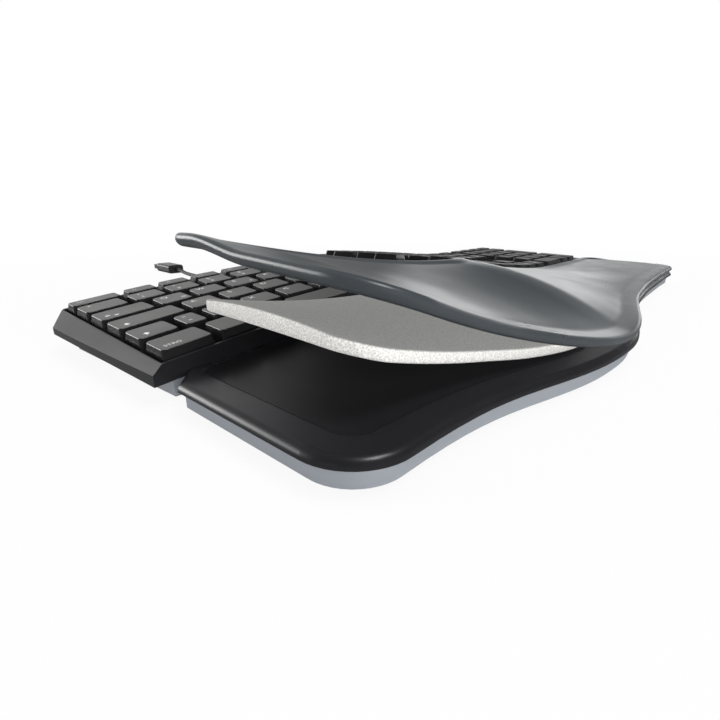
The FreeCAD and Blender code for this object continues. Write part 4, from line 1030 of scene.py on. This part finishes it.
class KEYBOARD_OT_stage(Operator):
    """Adds the pale floor, the background and the studio lights"""
    bl_idname = "keyboard.stage"
    bl_label = "Add the stage"

    def execute(self, context):
        scene = context.scene
        stage = scene.keyboard_stage
        colours = scene.keyboard_colours
        scene.view_settings.view_transform = "Standard"
        mesh = mesh_from("floor", [(-6, -6, 0), (6, -6, 0), (6, 6, 0), (-6, 6, 0)], [(0, 1, 2, 3)])
        floor = new_object("floor", mesh, None)
        material = bpy.data.materials.new("floor")
        material.use_nodes = True
        tree = material.node_tree
        shader = tree.nodes["Principled BSDF"]
        shader.inputs["Base Color"].default_value = (0.8, 0.8, 0.8, 1.0)
        shader.inputs["Roughness"].default_value = 0.9
        glow = add(tree, "ShaderNodeEmission")
        glow.inputs["Color"].default_value = tuple(colours.backdrop) + (1.0,)
        path = add(tree, "ShaderNodeLightPath")
        tree.links.new(math_node(tree, "MAXIMUM", path.outputs["Is Camera Ray"], stage.floor_gloss),
                       glow.inputs["Strength"])
        blend = add(tree, "ShaderNodeMixShader")
        away = add(tree, "ShaderNodeVectorMath", operation="LENGTH")
        tree.links.new(add(tree, "ShaderNodeNewGeometry").outputs["Position"], away.inputs[0])
        seen = math_node(tree, "MULTIPLY", path.outputs["Is Camera Ray"],
                         fade(tree, away.outputs["Value"], 0.2, 0.7, 0.92, 1.0))
        share = math_node(tree, "MAXIMUM", seen, path.outputs["Is Glossy Ray"])
        tree.links.new(share, blend.inputs[0])
        tree.links.new(shader.outputs[0], blend.inputs[1])
        tree.links.new(glow.outputs[0], blend.inputs[2])
        tree.links.new(blend.outputs[0], tree.nodes["Material Output"].inputs["Surface"])
        mesh.materials.append(material)
        world = bpy.data.worlds.new("room")
        world.use_nodes = True
        scene.world = world
        tree = world.node_tree
        back = tree.nodes["Background"]
        back.inputs["Color"].default_value = tuple(colours.backdrop) + (1.0,)
        path = add(tree, "ShaderNodeLightPath")
        direction = add(tree, "ShaderNodeTexCoord").outputs["Generated"]
        split = add(tree, "ShaderNodeSeparateXYZ")
        tree.links.new(direction, split.inputs[0])
        window = facing(tree, direction, (-0.17, 0.96, 0.22), 0.63, 0.82, 0.0, stage.room_back)
        window = math_node(tree, "MULTIPLY", window, fade(tree, split.outputs["Z"], 0.36, 0.55, 1.0, 0.2))
        strip = facing(tree, direction, (-0.515, 0.857, 0.14), 0.955, 0.988, stage.room_front, stage.strip)
        low = fade(tree, math_node(tree, "ABSOLUTE", split.outputs["Z"]), 0.06, 0.16, stage.horizon, 0.0)
        wall = facing(tree, direction, (0.97, 0.22, 0.0), 0.90, 0.97, 0.04, 1.0)
        light = math_node(tree, "MULTIPLY_ADD", low, wall, math_node(tree, "ADD", window, strip))
        unseen = math_node(tree, "SUBTRACT", 1.0, path.outputs["Is Camera Ray"])
        strength = math_node(tree, "MULTIPLY_ADD", light, unseen, path.outputs["Is Camera Ray"])
        tree.links.new(strength, back.inputs["Strength"])
        soft_light("front_softbox", (-0.4, -1.4, 0.4), (0.0, 0.0, 0.02), (1.4, 0.8), stage.key_light, False)
        soft_light("rim_lamp", (-0.08, -0.55, 1.05), (-0.18, -0.1, 0.0), (0.45, 0.3), stage.rim_light)
        soft_light("top_softbox", (0.1, 0.1, 1.5), (0.0, 0.0, 0.0), (1.6, 1.0), stage.top_light, False)
        soft_light("back_softbox", (-0.5, 1.3, 0.6), (0.0, 0.0, 0.02), (1.6, 0.6), stage.back_light, False)
        soft_light("side_lamp", (-1.3, -0.25, 0.25), (-0.1, 0.0, 0.02), (0.35, 0.25), stage.side_light)
        return {"FINISHED"}


STEPS = ("camera", "cord", "key_caps", "shell", "inside", "foam", "cover", "stage")


class KEYBOARD_PT_panel(Panel):
    """Lists the keyboard's steps and their sizes"""
    bl_idname = "KEYBOARD_PT_panel"
    bl_label = "Keyboard"
    bl_space_type = "VIEW_3D"
    bl_region_type = "UI"
    bl_category = "Keyboard"

    def draw(self, context):
        for step in STEPS:
            self.layout.operator("keyboard." + step)
        for settings in (context.scene.keyboard_sizes, context.scene.keyboard_colours,
                         context.scene.keyboard_stage):
            for name in settings.__annotations__:
                self.layout.prop(settings, name)


CLASSES = (KeyboardSizes, KeyboardColours, KeyboardStage, KEYBOARD_OT_camera, KEYBOARD_OT_cord,
           KEYBOARD_OT_key_caps, KEYBOARD_OT_shell, KEYBOARD_OT_inside, KEYBOARD_OT_foam, KEYBOARD_OT_cover,
           KEYBOARD_OT_stage, KEYBOARD_PT_panel)


def register():
    for entry in CLASSES:
        bpy.utils.register_class(entry)
    bpy.types.Scene.keyboard_sizes = PointerProperty(type=KeyboardSizes)
    bpy.types.Scene.keyboard_colours = PointerProperty(type=KeyboardColours)
    bpy.types.Scene.keyboard_stage = PointerProperty(type=KeyboardStage)


def unregister():
    del bpy.types.Scene.keyboard_stage
    del bpy.types.Scene.keyboard_colours
    del bpy.types.Scene.keyboard_sizes
    for entry in reversed(CLASSES):
        bpy.utils.unregister_class(entry)


def main():
    register()
    for step in STEPS:
        getattr(bpy.ops.keyboard, step)()


if __name__ == "__main__":
    main()
